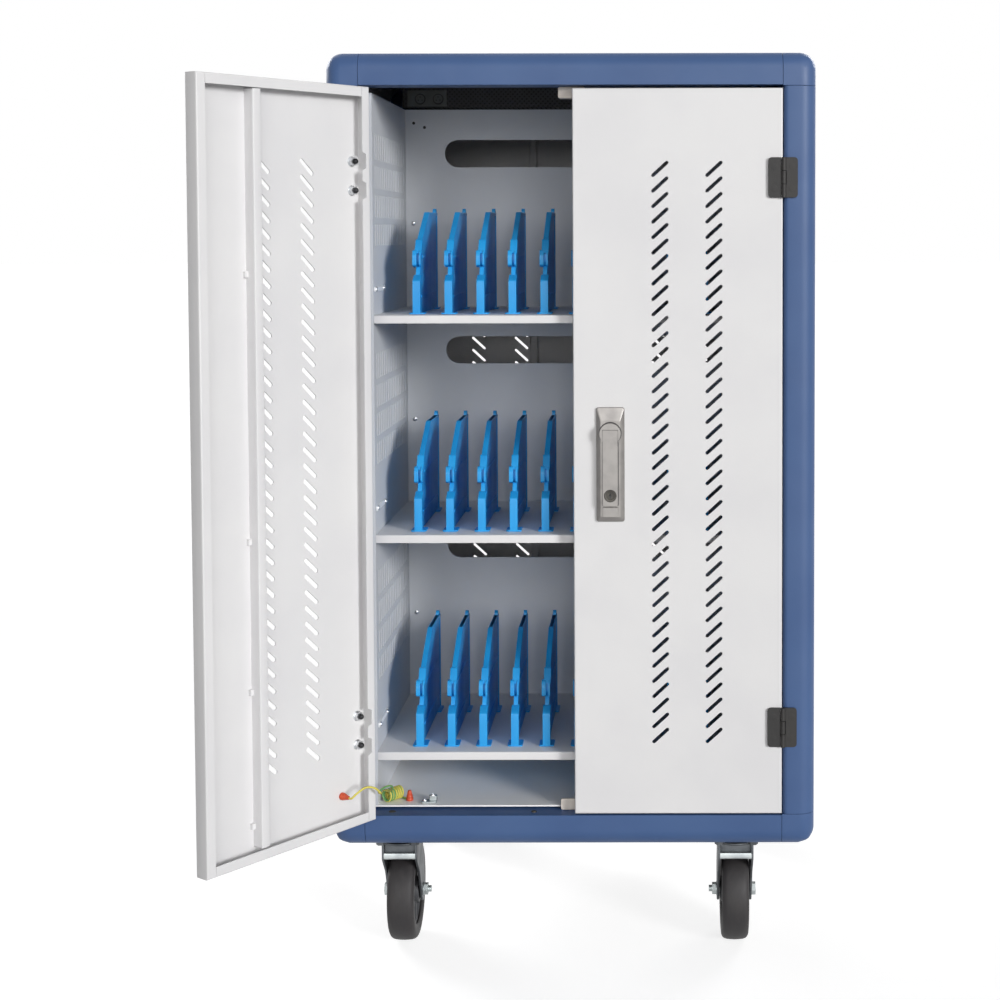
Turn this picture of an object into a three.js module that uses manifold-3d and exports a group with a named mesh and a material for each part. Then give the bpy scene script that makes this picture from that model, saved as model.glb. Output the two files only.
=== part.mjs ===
// Laptop charging cart: a steel cabinet on four swivel castors, with vented double doors front and rear,
// three shelves of plastic laptop dividers and a power unit under the top panel.
// Millimetres, +Z up, the front faces -Y, the origin lies on the floor under the middle of the cabinet.
import * as THREE from 'three';
import { mergeGeometries, mergeVertices } from 'three/addons/utils/BufferGeometryUtils.js';
import Module from 'manifold-3d';

const wasm = await Module();
wasm.setup();

// Cabinet
const BODY_WIDTH = 600;
const BODY_DEPTH = 560;
const BODY_HEIGHT = 982;
const CASTOR_HEIGHT = 157;
const PROFILE = 40;
const PROFILE_WALL = 2.5;
const PROFILE_ROUND = 20;
const CORNER_MARGIN = 1;
const CORNER_BLOCK = PROFILE + CORNER_MARGIN;
const CORNER_ROUND = 21;
const DRAIN_RADIUS = 6;
const SHEET = 1.5;
const SKIN = 2;
const FIT = 0.3;

// Inside
const WALL_INSET = 54;
const WALL_TOP_GAP = 7.5;
const WALL_TOP_DROP = PROFILE + WALL_TOP_GAP;
const FLOOR_ABOVE_RAIL = 5;
const FLOOR_RISE = PROFILE + FLOOR_ABOVE_RAIL;
const LOWER_SPACE = 67.5;
const BAYS = 3;
const SHELF_SETBACK = 25;
const SHELF_LIP = 10;
const PARTITION_SETBACK = 307;
const OVAL_WIDTH = 382;
const OVAL_HEIGHT = 38;
const OVAL_DROP = 61;
const POWER_UNIT_DEPTH = 200;
const POWER_UNIT_HEIGHT = 42;
const POWER_UNIT_SIDE_GAP = 50;
const SOCKET_RADIUS = 9;
const SOCKET_SPACING = 26;
const SOCKET_INSET = 14;
const SOCKET_DEPTH = 4;

// Dividers
const DIVIDERS = 11;
const DIVIDER_PITCH = 40;
const DIVIDER_CENTRE = 4;
const DIVIDER_SETBACK = 22;
const DIVIDER_DEPTH = 190;
const DIVIDER_HEIGHT = 129;
const DIVIDER_WEB = 5;
const DIVIDER_RIM = 10;
const DIVIDER_RIM_DEPTH = 8;
const DIVIDER_RIM_HEIGHT = 43;
const DIVIDER_FOOT_DEPTH = 150;
const DIVIDER_FOOT_SETBACK = 20;
const DIVIDER_STRIP = 3;
const DIVIDER_LOOP = { width: 9, height: 6 };
const DIVIDER_TOP_SHARE = 0.55;
const DIVIDER_CLIP = [[24, 80], [8, 76], [8, 66], [16, 60], [10, 48]];

// Doors
const DOOR_THICK = 20;
const DOOR_LIP = 12;
const DOOR_SIDE_GAP = 1.3;
const DOOR_TOP_GAP = 4;
const DOOR_BOTTOM_GAP = 2;
const DOOR_MEETING_GAP = 4;
const LEFT_DOOR_OPEN = 127;
const SLOT_PITCH = 18.9;
const SLOT_LENGTH = 27;
const SLOT_WIDTH = 4;
const SLOT_LEAN = 42.5;
const SLOT_COLUMNS = [84, 150];
const SLOT_END_MARGIN = 88;
const RIB_OFFSET = 170;
const RIB_WIDTH = 12;
const RIB_HEIGHT = 17;
const RIB_END_GAP = 16;
const PIVOT_INSET = 9;
const PIVOT_RADIUS = 4;
const PIVOT_REACH = 6;
const REAR_SIDE_GAP = 4.5;

// Hinges
const HINGE_HEIGHT = 49;
const HINGE_INSET = 109;
const HINGE_LEAF = 17;
const HINGE_LEAF_THICK = 3;
const HINGE_AXIS_PROUD = 4;
const HINGE_KNUCKLE = 3.6;
const HINGE_PIN = 1.7;
const HINGE_SIDES = 8;
const HINGE_AXIS_GAP = 0.5;
const HINGE_DOOR_LEAF = 19;
const HINGE_PIN_INSET = 1;

// Swing handle lock
const LOCK_EDGE_OFFSET = 45.5;
const LOCK_DROP = 12;
const LOCK_WIDTH = 34.6;
const LOCK_HEIGHT = 141;
const LOCK_BASE = 3;
const LOCK_PROUD = 7;
const LOCK_BEVEL = 5.5;
const LOCK_HEAD_RISE = 39;
const LOCK_HEAD_RADIUS = 13;
const LEVER_WIDTH = 19.6;
const LEVER_THICK = 8.4;
const LEVER_REACH = 88.5;
const LEVER_PIVOT_DROP = 6;
const LEVER_TONGUE = 11;
const LEVER_BODY_DROP = 14.6;
const CYLINDER_DROP = 76;
const CYLINDER_RADIUS = 7.4;
const CYLINDER_PROUD = 1;
const SPINDLE_RADIUS = 6;
const CAM_LENGTH = 42;
const CAM_WIDTH = 16;
const CAM_THICK = 3;
const CAP_WIDTH = 14;
const CAP_HEIGHT = 11;
const CAP_PROUD = 4;

// Strikes
const STRIKE_WIDTH = 33;
const STRIKE_HEIGHT = 14;
const STRIKE_DEPTH = 16;
const STRIKE_BEHIND_DOOR = 2;

// Castors
const WHEEL_DIAMETER = 127;
const WHEEL_WIDTH = 35;
const HUB_WIDTH = 37;
const HUB_RADIUS = 16;
const RIM_RADIUS = 46;
const WEB_HALF = 11;
const TREAD_ROUND = 6;
const WHEEL_SIDES = 20;
const CASTOR_INSET = 86;
const CASTOR_CENTRE = -10;
const KINGPIN_SETBACK = 72;
const CASTOR_TRAIL = 38;
const CASTOR_PLATE_LENGTH = 86;
const CASTOR_PLATE_WIDTH = 60;
const CASTOR_PLATE_THICK = 4;
const RACEWAY_RADIUS = 27;
const RACEWAY_HEIGHT = 6;
const KINGPIN_RADIUS = 6;
const KINGPIN_HEAD = 9;
const CROWN_THICK = 4;
const FORK_SHEET = 3;
const FORK_LIP_DROP = 24;
const FORK_LIP_AHEAD = 22;
const FORK_END = [[-14, 4], [-10, -11], [0, -15], [10, -11], [14, 4]];
const AXLE_RADIUS = 5;
const AXLE_HEAD_RADIUS = 8.5;
const AXLE_HEAD_LENGTH = 6;

// Curly earth lead
const LEAD_RADIUS = 1.3;
const LEAD_SIDES = 5;
const CURL_RADIUS = 7;
const CURL_TURNS = 7.5;
const CURL_STEPS = 8;
const BOOT_RADIUS = 4.5;
const BOOT_TIP = 2.2;
const BOOT_LENGTH = 13;
const BOOT_SIDES = 10;
const BOOT_ALONG = 41;
const BOOT_DROP = 904;
const LEAD_TAIL = 12;
const LEAD_STEPS = 24;
const LEAD_STRETCH_SIDES = 8;
const CURL_FROM = { x: -238, y: -245 };
const CURL_TO = { x: -222, y: -226 };

// Planes worked out from the sizes
const SIDE = BODY_WIDTH / 2;
const FRONT = -BODY_DEPTH / 2;
const REAR = BODY_DEPTH / 2;
const BOTTOM = CASTOR_HEIGHT;
const TOP = BOTTOM + BODY_HEIGHT;
const OPENING_SIDE = SIDE - PROFILE;
const OPENING_BOTTOM = BOTTOM + PROFILE;
const OPENING_TOP = TOP - PROFILE;
const RING_INNER = REAR - PROFILE;
const WALL = SIDE - WALL_INSET;
const WALL_TOP = TOP - WALL_TOP_DROP;
const FLOOR = BOTTOM + FLOOR_RISE;
const SHELF_FRONT = FRONT + SHELF_SETBACK;
const PARTITION = FRONT + PARTITION_SETBACK;
const LOWEST_SHELF = FLOOR + LOWER_SPACE;
const BAY_HEIGHT = (WALL_TOP - LOWEST_SHELF) / BAYS;
const DOOR_TOP = OPENING_TOP - DOOR_TOP_GAP;
const DOOR_BOTTOM = OPENING_BOTTOM + DOOR_BOTTOM_GAP;
const DOOR_FREE = DOOR_MEETING_GAP / 2;
const DOOR_MIDDLE = (DOOR_TOP + DOOR_BOTTOM) / 2;
const HINGE_AXIS = { x: OPENING_SIDE - FIT, y: FRONT - HINGE_AXIS_PROUD };

// Finishes
function finish(color, roughness, metalness = 0) {
  return new THREE.MeshStandardMaterial({ color, roughness, metalness });
}

const SLATE_BLUE = finish(0x47629b, 0.55);
const WHITE = finish(0xe9e6e4, 0.5);
const SKY_BLUE = finish(0x1f9be8, 0.35);
const BLACK = finish(0x1c1c1e, 0.6);
const ZINC = finish(0xb9bcbd, 0.32, 0.9);
const RUBBER = finish(0x2f3134, 0.8);
const EARTH_GREEN_YELLOW = finish(0xc9c93a, 0.5);
const BOOT_RED = finish(0xd8481f, 0.45);

// Geometry with shared vertices and positions only
function bare(geometry) {
  const copy = geometry.clone();
  for (const name of Object.keys(copy.attributes)) {
    if (name !== 'position') copy.deleteAttribute(name);
  }
  return mergeVertices(copy);
}

function solid(geometry) {
  const clean = bare(geometry);
  const vertProperties = new Float32Array(clean.attributes.position.array);
  const triVerts = new Uint32Array(clean.index.array);
  return new wasm.Manifold(new wasm.Mesh({ numProp: 3, vertProperties, triVerts }));
}

function geometryOf(manifold) {
  const mesh = manifold.getMesh();
  const geometry = new THREE.BufferGeometry();
  geometry.setAttribute('position', new THREE.BufferAttribute(mesh.vertProperties, 3));
  geometry.setIndex(new THREE.BufferAttribute(mesh.triVerts, 1));
  return geometry;
}

function combine(step, first, rest) {
  return geometryOf(rest.reduce((sum, next) => sum[step](solid(next)), solid(first)));
}

const join = (first, ...rest) => combine('add', first, rest);
const cut = (first, ...rest) => combine('subtract', first, rest);
const meet = (first, ...rest) => combine('intersect', first, rest);

// A box between two corners
function box(x0, x1, y0, y1, z0, z1) {
  const geometry = new THREE.BoxGeometry(x1 - x0, y1 - y0, z1 - z0);
  return bare(geometry.translate((x0 + x1) / 2, (y0 + y1) / 2, (z0 + z1) / 2));
}

// An outline drawn in a plane and extruded between two places on the third axis
const PLANES = {
  xy: [[1, 0, 0], [0, 1, 0], [0, 0, 1]],
  yz: [[0, 1, 0], [0, 0, 1], [1, 0, 0]],
  zx: [[0, 0, 1], [1, 0, 0], [0, 1, 0]],
};

function extrude(shape, plane, from, to, curveSegments = 4) {
  const geometry = new THREE.ExtrudeGeometry(shape, { depth: to - from, bevelEnabled: false, curveSegments });
  geometry.translate(0, 0, from);
  const [u, v, w] = PLANES[plane].map((axis) => new THREE.Vector3(...axis));
  return bare(geometry.applyMatrix4(new THREE.Matrix4().makeBasis(u, v, w)));
}

// A round bar along one axis, centred at the other two coordinates
function bar(axis, a, b, radius, from, to, sides = 12) {
  const geometry = new THREE.CylinderGeometry(radius, radius, to - from, sides);
  const middle = (from + to) / 2;
  if (axis === 'x') return bare(geometry.rotateZ(-Math.PI / 2).translate(middle, a, b));
  if (axis === 'z') return bare(geometry.rotateX(Math.PI / 2).translate(a, b, middle));
  return bare(geometry.translate(a, middle, b));
}

// The other-handed copy of a geometry, with its faces still pointing out
function mirrored(geometry, axis) {
  const copy = bare(geometry);
  const flip = new THREE.Vector3(1, 1, 1);
  flip[axis] = -1;
  copy.scale(flip.x, flip.y, flip.z);
  const index = copy.index.array;
  for (let i = 0; i < index.length; i += 3) {
    [index[i], index[i + 1]] = [index[i + 1], index[i]];
  }
  return copy;
}

const turned = (geometry) => bare(geometry.clone().rotateZ(Math.PI));

function outline(points) {
  return new THREE.Shape(points.map(([a, b]) => new THREE.Vector2(a, b)));
}

const cart = new THREE.Group();

function add(parent, name, geometry, material) {
  const shown = geometry.toNonIndexed();
  shown.computeVertexNormals();
  const mesh = new THREE.Mesh(shown, material);
  mesh.name = name;
  parent.add(mesh);
  return mesh;
}

// Frame: section with a is the way outwards and b the way back from the front face
function sectionOutline(size, round, inset) {
  const shape = new THREE.Shape();
  const radius = round - inset;
  shape.moveTo(inset, inset);
  shape.lineTo(size - round, inset);
  shape.absarc(size - round, round, radius, -Math.PI / 2, 0, false);
  shape.lineTo(size - inset, size - inset);
  shape.lineTo(inset, size - inset);
  shape.closePath();
  return shape;
}

function rightFrontPost(from, to) {
  const section = sectionOutline(PROFILE, PROFILE_ROUND, 0);
  section.holes.push(sectionOutline(PROFILE, PROFILE_ROUND, PROFILE_WALL));
  return extrude(section, 'xy', from, to).translate(OPENING_SIDE, FRONT, 0);
}

function frontTopRail(from, to) {
  const section = sectionOutline(PROFILE, PROFILE_ROUND, 0);
  section.holes.push(sectionOutline(PROFILE, PROFILE_ROUND, PROFILE_WALL));
  const lying = extrude(section, 'zx', 0, to - from);
  const placed = lying.applyMatrix4(new THREE.Matrix4().makeBasis(
    new THREE.Vector3(0, 1, 0), new THREE.Vector3(-1, 0, 0), new THREE.Vector3(0, 0, 1)));
  return placed.translate(to, FRONT, OPENING_TOP);
}

function rightTopCorner() {
  const block = sectionOutline(CORNER_BLOCK, PROFILE_ROUND, 0);
  const upright = extrude(block, 'xy', TOP - CORNER_BLOCK, TOP).translate(SIDE - CORNER_BLOCK, FRONT, 0);
  const across = new THREE.Shape();
  across.moveTo(FRONT, TOP - CORNER_BLOCK);
  across.lineTo(FRONT + CORNER_BLOCK, TOP - CORNER_BLOCK);
  across.lineTo(FRONT + CORNER_BLOCK, TOP);
  across.lineTo(FRONT + PROFILE_ROUND, TOP);
  across.absarc(FRONT + PROFILE_ROUND, TOP - PROFILE_ROUND, PROFILE_ROUND, Math.PI / 2, Math.PI, false);
  across.closePath();
  const level = extrude(across, 'yz', SIDE - CORNER_BLOCK, SIDE);
  const face = new THREE.Shape();
  face.moveTo(TOP - CORNER_BLOCK, SIDE - CORNER_BLOCK);
  face.lineTo(TOP, SIDE - CORNER_BLOCK);
  face.lineTo(TOP, SIDE - CORNER_ROUND);
  face.absarc(TOP - CORNER_ROUND, SIDE - CORNER_ROUND, CORNER_ROUND, 0, Math.PI / 2, false);
  face.lineTo(TOP - CORNER_BLOCK, SIDE);
  face.closePath();
  return meet(upright, level, extrude(face, 'zx', FRONT, FRONT + PROFILE));
}

const flipMiddle = BOTTOM + TOP;
const upsideDown = (geometry) => mirrored(geometry, 'z').translate(0, 0, flipMiddle);

// A socket whose flats, not its corners, clear the round pin
function pivotSocket(x, z0, z1) {
  const radius = (PIVOT_RADIUS + FIT) / Math.cos(Math.PI / HINGE_SIDES);
  return bar('z', x, REAR - PIVOT_INSET, radius, z0, z1, HINGE_SIDES);
}

function makeFrame() {
  const postFrom = BOTTOM + CORNER_BLOCK + FIT;
  const post = rightFrontPost(postFrom, flipMiddle - postFrom);
  const railReach = SIDE - CORNER_BLOCK - FIT;
  const rail = frontTopRail(-railReach, railReach);
  const corner = rightTopCorner();
  add(cart, 'front_right_post', post, SLATE_BLUE);
  add(cart, 'front_left_post', mirrored(post, 'x'), SLATE_BLUE);
  add(cart, 'front_top_rail', rail, SLATE_BLUE);
  add(cart, 'front_bottom_rail', upsideDown(rail), SLATE_BLUE);
  add(cart, 'front_top_right_corner', corner, SLATE_BLUE);
  add(cart, 'front_top_left_corner', mirrored(corner, 'x'), SLATE_BLUE);
  add(cart, 'front_bottom_right_corner', upsideDown(corner), SLATE_BLUE);
  add(cart, 'front_bottom_left_corner', upsideDown(mirrored(corner, 'x')), SLATE_BLUE);

  const drain = bar('z', SIDE - PROFILE / 2, REAR - PROFILE / 2, DRAIN_RADIUS, BOTTOM - 1, postFrom + 1,
    HINGE_SIDES);
  const rearPost = cut(join(mirrored(rightFrontPost(postFrom - 1, flipMiddle - postFrom + 1), 'y'),
    mirrored(corner, 'y'), upsideDown(mirrored(corner, 'y'))), drain);
  add(cart, 'rear_right_post', rearPost, SLATE_BLUE);
  add(cart, 'rear_left_post', mirrored(rearPost, 'x'), SLATE_BLUE);
  const socketFrom = OPENING_TOP - 1;
  const socketTo = OPENING_TOP + PROFILE_WALL + 1;
  const sockets = [-REAR_PIVOT, REAR_PIVOT].map((x) => pivotSocket(x, socketFrom, socketTo));
  const rearRail = cut(mirrored(rail, 'y'), ...sockets);
  add(cart, 'rear_top_rail', rearRail, SLATE_BLUE);
  add(cart, 'rear_bottom_rail', upsideDown(rearRail), SLATE_BLUE);
}

// Skin: panels between the front and rear frames, with rounded shoulders on the top cap and the base
function shoulderOutline(inset) {
  const shape = new THREE.Shape();
  const radius = CORNER_ROUND - inset;
  const low = TOP - CORNER_BLOCK;
  shape.moveTo(low, inset - SIDE);
  shape.lineTo(TOP - CORNER_ROUND, inset - SIDE);
  shape.absarc(TOP - CORNER_ROUND, CORNER_ROUND - SIDE, radius, -Math.PI / 2, 0, false);
  shape.lineTo(TOP - inset, SIDE - CORNER_ROUND);
  shape.absarc(TOP - CORNER_ROUND, SIDE - CORNER_ROUND, radius, 0, Math.PI / 2, false);
  shape.lineTo(low, SIDE - inset);
  shape.closePath();
  return shape;
}

function capShell() {
  const ends = RING_INNER - FIT;
  const outer = extrude(shoulderOutline(0), 'zx', -ends, ends);
  const inner = extrude(shoulderOutline(SKIN), 'zx', -ends - 1, ends + 1);
  const below = box(-SIDE, SIDE, -REAR, REAR, TOP - CORNER_BLOCK - 1, TOP - CORNER_BLOCK + FIT);
  return cut(outer, inner, below);
}

function makeSkin() {
  const ends = RING_INNER - FIT;
  const cap = capShell();
  const sideFrom = BOTTOM + CORNER_BLOCK + FIT;
  const side = box(SIDE - SKIN, SIDE, -ends, ends, sideFrom, flipMiddle - sideFrom);
  const floorEnd = -SHELF_FRONT;
  const floorPlate = join(
    box(SKIN / 2 - SIDE, SIDE - SKIN / 2, -ends, ends, FLOOR - SKIN, FLOOR),
    box(-OPENING_SIDE + FIT, OPENING_SIDE - FIT, -floorEnd, floorEnd, FLOOR - SKIN, FLOOR));
  add(cart, 'top_panel', cap, WHITE);
  const sidePanel = cut(side, box(SIDE - SKIN - 1, SIDE + 1, -REAR, REAR, 0, FLOOR + FIT));
  add(cart, 'right_side_panel', sidePanel, WHITE);
  add(cart, 'left_side_panel', mirrored(sidePanel, 'x'), WHITE);
  const webs = [-1, 1].map((hand) => {
    const outer = hand * SIDE;
    const inner = hand * (SIDE - SKIN);
    return box(Math.min(outer, inner), Math.max(outer, inner), -ends, ends, BOTTOM + CORNER_BLOCK - 1, FLOOR);
  });
  add(cart, 'base_box', join(upsideDown(cap), floorPlate, ...webs), WHITE);
}

// Inside: walls, partition, shelves, power unit
function innerWall(hand) {
  const end = -SHELF_FRONT;
  const reach = OPENING_SIDE - FIT;
  const fold = [[WALL, -end], [reach, -end], [reach, SHEET - end], [WALL + SHEET, SHEET - end],
    [WALL + SHEET, end - SHEET], [reach, end - SHEET], [reach, end], [WALL, end]];
  return extrude(outline(fold.map(([x, y]) => [hand * x, y])), 'xy', FLOOR + FIT, WALL_TOP);
}

function makeWalls() {
  add(cart, 'right_inner_wall', innerWall(1), WHITE);
  add(cart, 'left_inner_wall', innerWall(-1), WHITE);
}

const shelfTop = (bay) => LOWEST_SHELF + bay * BAY_HEIGHT;

function ovalOutline(z) {
  const half = OVAL_WIDTH / 2 - OVAL_HEIGHT / 2;
  const shape = new THREE.Shape();
  shape.absarc(z, half, OVAL_HEIGHT / 2, 0, Math.PI, false);
  shape.absarc(z, -half, OVAL_HEIGHT / 2, Math.PI, 2 * Math.PI, false);
  return shape;
}

function makePartition() {
  const across = WALL - FIT;
  const sheet = box(-across, across, PARTITION, PARTITION + SHEET, FLOOR + FIT, WALL_TOP);
  const ovals = [];
  for (let bay = 1; bay <= BAYS; bay += 1) {
    ovals.push(extrude(ovalOutline(shelfTop(bay) - OVAL_DROP), 'zx', PARTITION - 1, PARTITION + SHEET + 1));
  }
  add(cart, 'back_partition', cut(sheet, ...ovals), WHITE);
}

const dividerPlaces = Array.from({ length: DIVIDERS },
  (_, i) => DIVIDER_CENTRE + (i - (DIVIDERS - 1) / 2) * DIVIDER_PITCH);
const dividerFront = SHELF_FRONT + DIVIDER_SETBACK;
const footFront = dividerFront + DIVIDER_FOOT_SETBACK;
const footBack = footFront + DIVIDER_FOOT_DEPTH;

function makeShelf(name, top) {
  const across = WALL - FIT;
  const back = PARTITION - FIT;
  const sheet = box(-across, across, SHELF_FRONT, back, top - SHEET, top);
  const frontLip = box(-across, across, SHELF_FRONT, SHELF_FRONT + SHEET, top - SHELF_LIP, top);
  const backLip = box(-across, across, back - SHEET, back, top - SHELF_LIP, top);
  const reach = DIVIDER_WEB / 2 + FIT;
  const slots = dividerPlaces.map((x) => box(x - reach, x + reach, footFront - FIT, footBack + FIT,
    top - 2 * SHEET, top + 1));
  add(cart, name, cut(join(sheet, frontLip, backLip), mergeGeometries(slots)), WHITE);
}

// One divider from the side: a stepped front edge with a cable clip, a sloping upper edge and a rear loop
function dividerOutline(top) {
  const at = (back, up) => [dividerFront + back, top + FIT + up];
  const loopFront = DIVIDER_DEPTH - DIVIDER_LOOP.width;
  return outline([
    at(0, 0), at(DIVIDER_DEPTH, 0), at(DIVIDER_DEPTH, DIVIDER_HEIGHT + DIVIDER_LOOP.height),
    at(loopFront, DIVIDER_HEIGHT + DIVIDER_LOOP.height), at(loopFront, DIVIDER_HEIGHT),
    at(DIVIDER_DEPTH * DIVIDER_TOP_SHARE, DIVIDER_HEIGHT), ...DIVIDER_CLIP.map(([back, up]) => at(back, up)),
    at(0, DIVIDER_RIM_HEIGHT),
  ]);
}

function makeDividers(name, top) {
  const under = top - SHEET - FIT;
  const strip = box(dividerPlaces[0] - DIVIDER_RIM, dividerPlaces.at(-1) + DIVIDER_RIM, footFront, footBack,
    under - DIVIDER_STRIP, under);
  const half = DIVIDER_WEB / 2;
  const webs = dividerPlaces.map((x) => extrude(dividerOutline(top), 'yz', x - half, x + half));
  const rims = dividerPlaces.map((x) => box(x - DIVIDER_RIM / 2, x + DIVIDER_RIM / 2, dividerFront,
    dividerFront + DIVIDER_RIM_DEPTH, top + FIT, top + FIT + DIVIDER_RIM_HEIGHT));
  const feet = dividerPlaces.map((x) => box(x - half, x + half, footFront, footBack, under - 1, top + 1));
  add(cart, name, join(strip, mergeGeometries(webs), mergeGeometries(rims), mergeGeometries(feet)), SKY_BLUE);
}

function makePowerUnit() {
  const top = TOP - SKIN - FIT;
  const reach = SIDE - POWER_UNIT_SIDE_GAP;
  const front = PARTITION + SHEET + FIT;
  const low = top - POWER_UNIT_HEIGHT;
  const housing = box(-reach, reach, front, front + POWER_UNIT_DEPTH, low, top);
  const socketHeight = WALL_TOP + (top - WALL_TOP) / 3;
  const sockets = [0, 1].map((i) => bar('y', -reach + SOCKET_INSET + i * SOCKET_SPACING, socketHeight,
    SOCKET_RADIUS, front - 1, front + SOCKET_DEPTH, HINGE_SIDES));
  add(cart, 'power_unit', cut(housing, ...sockets), BLACK);
}

// Doors: folded steel pans with returned lips, an upright stiffener and two columns of leaning vent slots
function slotCutters(columns, from, to, lean) {
  const rows = Math.floor((to - from - 2 * SLOT_END_MARGIN - SLOT_LENGTH * Math.sin(lean)) / SLOT_PITCH) + 1;
  const middle = (from + to) / 2;
  const cutters = [];
  for (const x of columns) {
    for (let row = 0; row < rows; row += 1) {
      const z = middle + (row - (rows - 1) / 2) * SLOT_PITCH;
      const slot = new THREE.BoxGeometry(SLOT_LENGTH, 4 * SHEET, SLOT_WIDTH);
      cutters.push(bare(slot.rotateY(-lean).translate(x, FRONT, z)));
    }
  }
  return mergeGeometries(cutters);
}

function doorPan(hingeEdge, hand, extras = {}) {
  const free = hand * DOOR_FREE;
  const hinge = hand * hingeEdge;
  const [x0, x1] = [Math.min(free, hinge), Math.max(free, hinge)];
  const back = FRONT + DOOR_THICK;
  const block = box(x0, x1, FRONT, back, DOOR_BOTTOM, DOOR_TOP);
  const hollow = box(x0 + SHEET, x1 - SHEET, FRONT + SHEET, back - SHEET,
    DOOR_BOTTOM + SHEET, DOOR_TOP - SHEET);
  const mouth = box(x0 + DOOR_LIP, x1 - DOOR_LIP, back - 2 * SHEET, back + 1,
    DOOR_BOTTOM + DOOR_LIP, DOOR_TOP - DOOR_LIP);
  const ribMiddle = hinge - hand * RIB_OFFSET;
  const ribFrom = DOOR_BOTTOM + RIB_END_GAP;
  const ribTo = DOOR_TOP - RIB_END_GAP;
  const rib = box(ribMiddle - RIB_WIDTH / 2, ribMiddle + RIB_WIDTH / 2, FRONT + SHEET / 2, FRONT + RIB_HEIGHT,
    ribFrom, ribTo);
  const ribHollow = box(ribMiddle - RIB_WIDTH / 2 + SHEET, ribMiddle + RIB_WIDTH / 2 - SHEET, FRONT + SHEET,
    FRONT + RIB_HEIGHT - SHEET, ribFrom - 1, ribTo + 1);
  const pan = cut(block, hollow, mouth);
  const columns = SLOT_COLUMNS.map((offset) => hinge - hand * offset);
  const slots = slotCutters(columns, DOOR_BOTTOM, DOOR_TOP, THREE.MathUtils.degToRad(SLOT_LEAN));
  return cut(join(pan, rib, ...(extras.added ?? [])), ribHollow, slots, ...(extras.removed ?? []));
}

const REAR_DOOR_EDGE = OPENING_SIDE - REAR_SIDE_GAP;
const REAR_PIVOT = REAR_DOOR_EDGE - PIVOT_INSET;

function pivotPins(hand) {
  const x = hand * REAR_PIVOT;
  const y = FRONT + PIVOT_INSET;
  const reach = SHEET / 2;
  return [
    bar('z', x, y, PIVOT_RADIUS, DOOR_TOP - reach, DOOR_TOP + PIVOT_REACH, HINGE_SIDES),
    bar('z', x, y, PIVOT_RADIUS, OPENING_BOTTOM - PIVOT_REACH + DOOR_TOP_GAP, DOOR_BOTTOM + reach,
      HINGE_SIDES),
  ];
}

const lockX = DOOR_FREE + LOCK_EDGE_OFFSET;
const lockZ = DOOR_MIDDLE - LOCK_DROP;
const headZ = lockZ + LOCK_HEAD_RISE;

// The group that the left door and all it carries hang in, turned open about the hinge axis
const leftDoorGroup = new THREE.Group();
leftDoorGroup.position.set(-HINGE_AXIS.x, HINGE_AXIS.y, 0);
leftDoorGroup.rotation.z = -THREE.MathUtils.degToRad(LEFT_DOOR_OPEN);
const leftDoor = new THREE.Group();
leftDoor.position.set(HINGE_AXIS.x, -HINGE_AXIS.y, 0);
leftDoorGroup.add(leftDoor);
cart.add(leftDoorGroup);

function makeDoors() {
  const frontEdge = OPENING_SIDE - DOOR_SIDE_GAP;
  const spindleHole = bar('y', lockX, headZ, SPINDLE_RADIUS + FIT, FRONT - 1, FRONT + 2 * SHEET);
  add(cart, 'right_door', doorPan(frontEdge, 1, { removed: [spindleHole] }), WHITE);
  add(leftDoor, 'left_door', doorPan(frontEdge, -1), WHITE);
  add(cart, 'rear_left_door', turned(doorPan(REAR_DOOR_EDGE, 1, { added: pivotPins(1) })), WHITE);
  add(cart, 'rear_right_door', turned(doorPan(REAR_DOOR_EDGE, -1, { added: pivotPins(-1) })), WHITE);
}

// Hinges: cast leaves on the frame and the door, three knuckles and a pin that stays with the frame leaf
function hingeLeaves(z) {
  const low = z - HINGE_HEIGHT / 2;
  const high = z + HINGE_HEIGHT / 2;
  const third = HINGE_HEIGHT / 3;
  const seat = FRONT - FIT;
  const face = seat - HINGE_LEAF_THICK;
  const { x, y } = HINGE_AXIS;
  const knuckle = (from, to) => bar('z', x, y, HINGE_KNUCKLE, from, to, HINGE_SIDES);
  const gap = FIT / 2;
  const clear = HINGE_KNUCKLE + FIT;
  const frameLeaf = box(x + HINGE_AXIS_GAP, x + HINGE_LEAF, face, seat, low, high);
  const frameNotch = box(x - clear, x + clear, face - 1, seat + 1, low + third - gap, high - third + gap);
  const pin = bar('z', x, y, HINGE_PIN, low + HINGE_PIN_INSET, high - HINGE_PIN_INSET, HINGE_SIDES);
  const frameKnuckles = [knuckle(low, low + third - gap), knuckle(high - third + gap, high)];
  const frame = join(cut(frameLeaf, frameNotch), ...frameKnuckles, pin);
  const doorLeaf = box(x - HINGE_DOOR_LEAF, x - HINGE_AXIS_GAP, face, seat, low, high);
  const doorNotches = [box(x - clear, x + clear, face - 1, seat + 1, low - 1, low + third + gap),
    box(x - clear, x + clear, face - 1, seat + 1, high - third - gap, high + 1)];
  const bore = bar('z', x, y, HINGE_PIN + FIT, low - 1, high + 1, HINGE_SIDES);
  const door = cut(join(cut(doorLeaf, ...doorNotches), knuckle(low + third + gap, high - third - gap)), bore);
  return { frame, door };
}

function makeHinges() {
  const places = { upper: DOOR_TOP - HINGE_INSET, lower: DOOR_BOTTOM + HINGE_INSET };
  for (const [level, z] of Object.entries(places)) {
    const { frame, door } = hingeLeaves(z);
    add(cart, `${level}_right_hinge_frame_leaf`, frame, BLACK);
    add(cart, `${level}_right_hinge_door_leaf`, door, BLACK);
    add(cart, `${level}_left_hinge_frame_leaf`, mirrored(frame, 'x'), BLACK);
    add(leftDoor, `${level}_left_hinge_door_leaf`, mirrored(door, 'x'), BLACK);
  }
}

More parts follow.
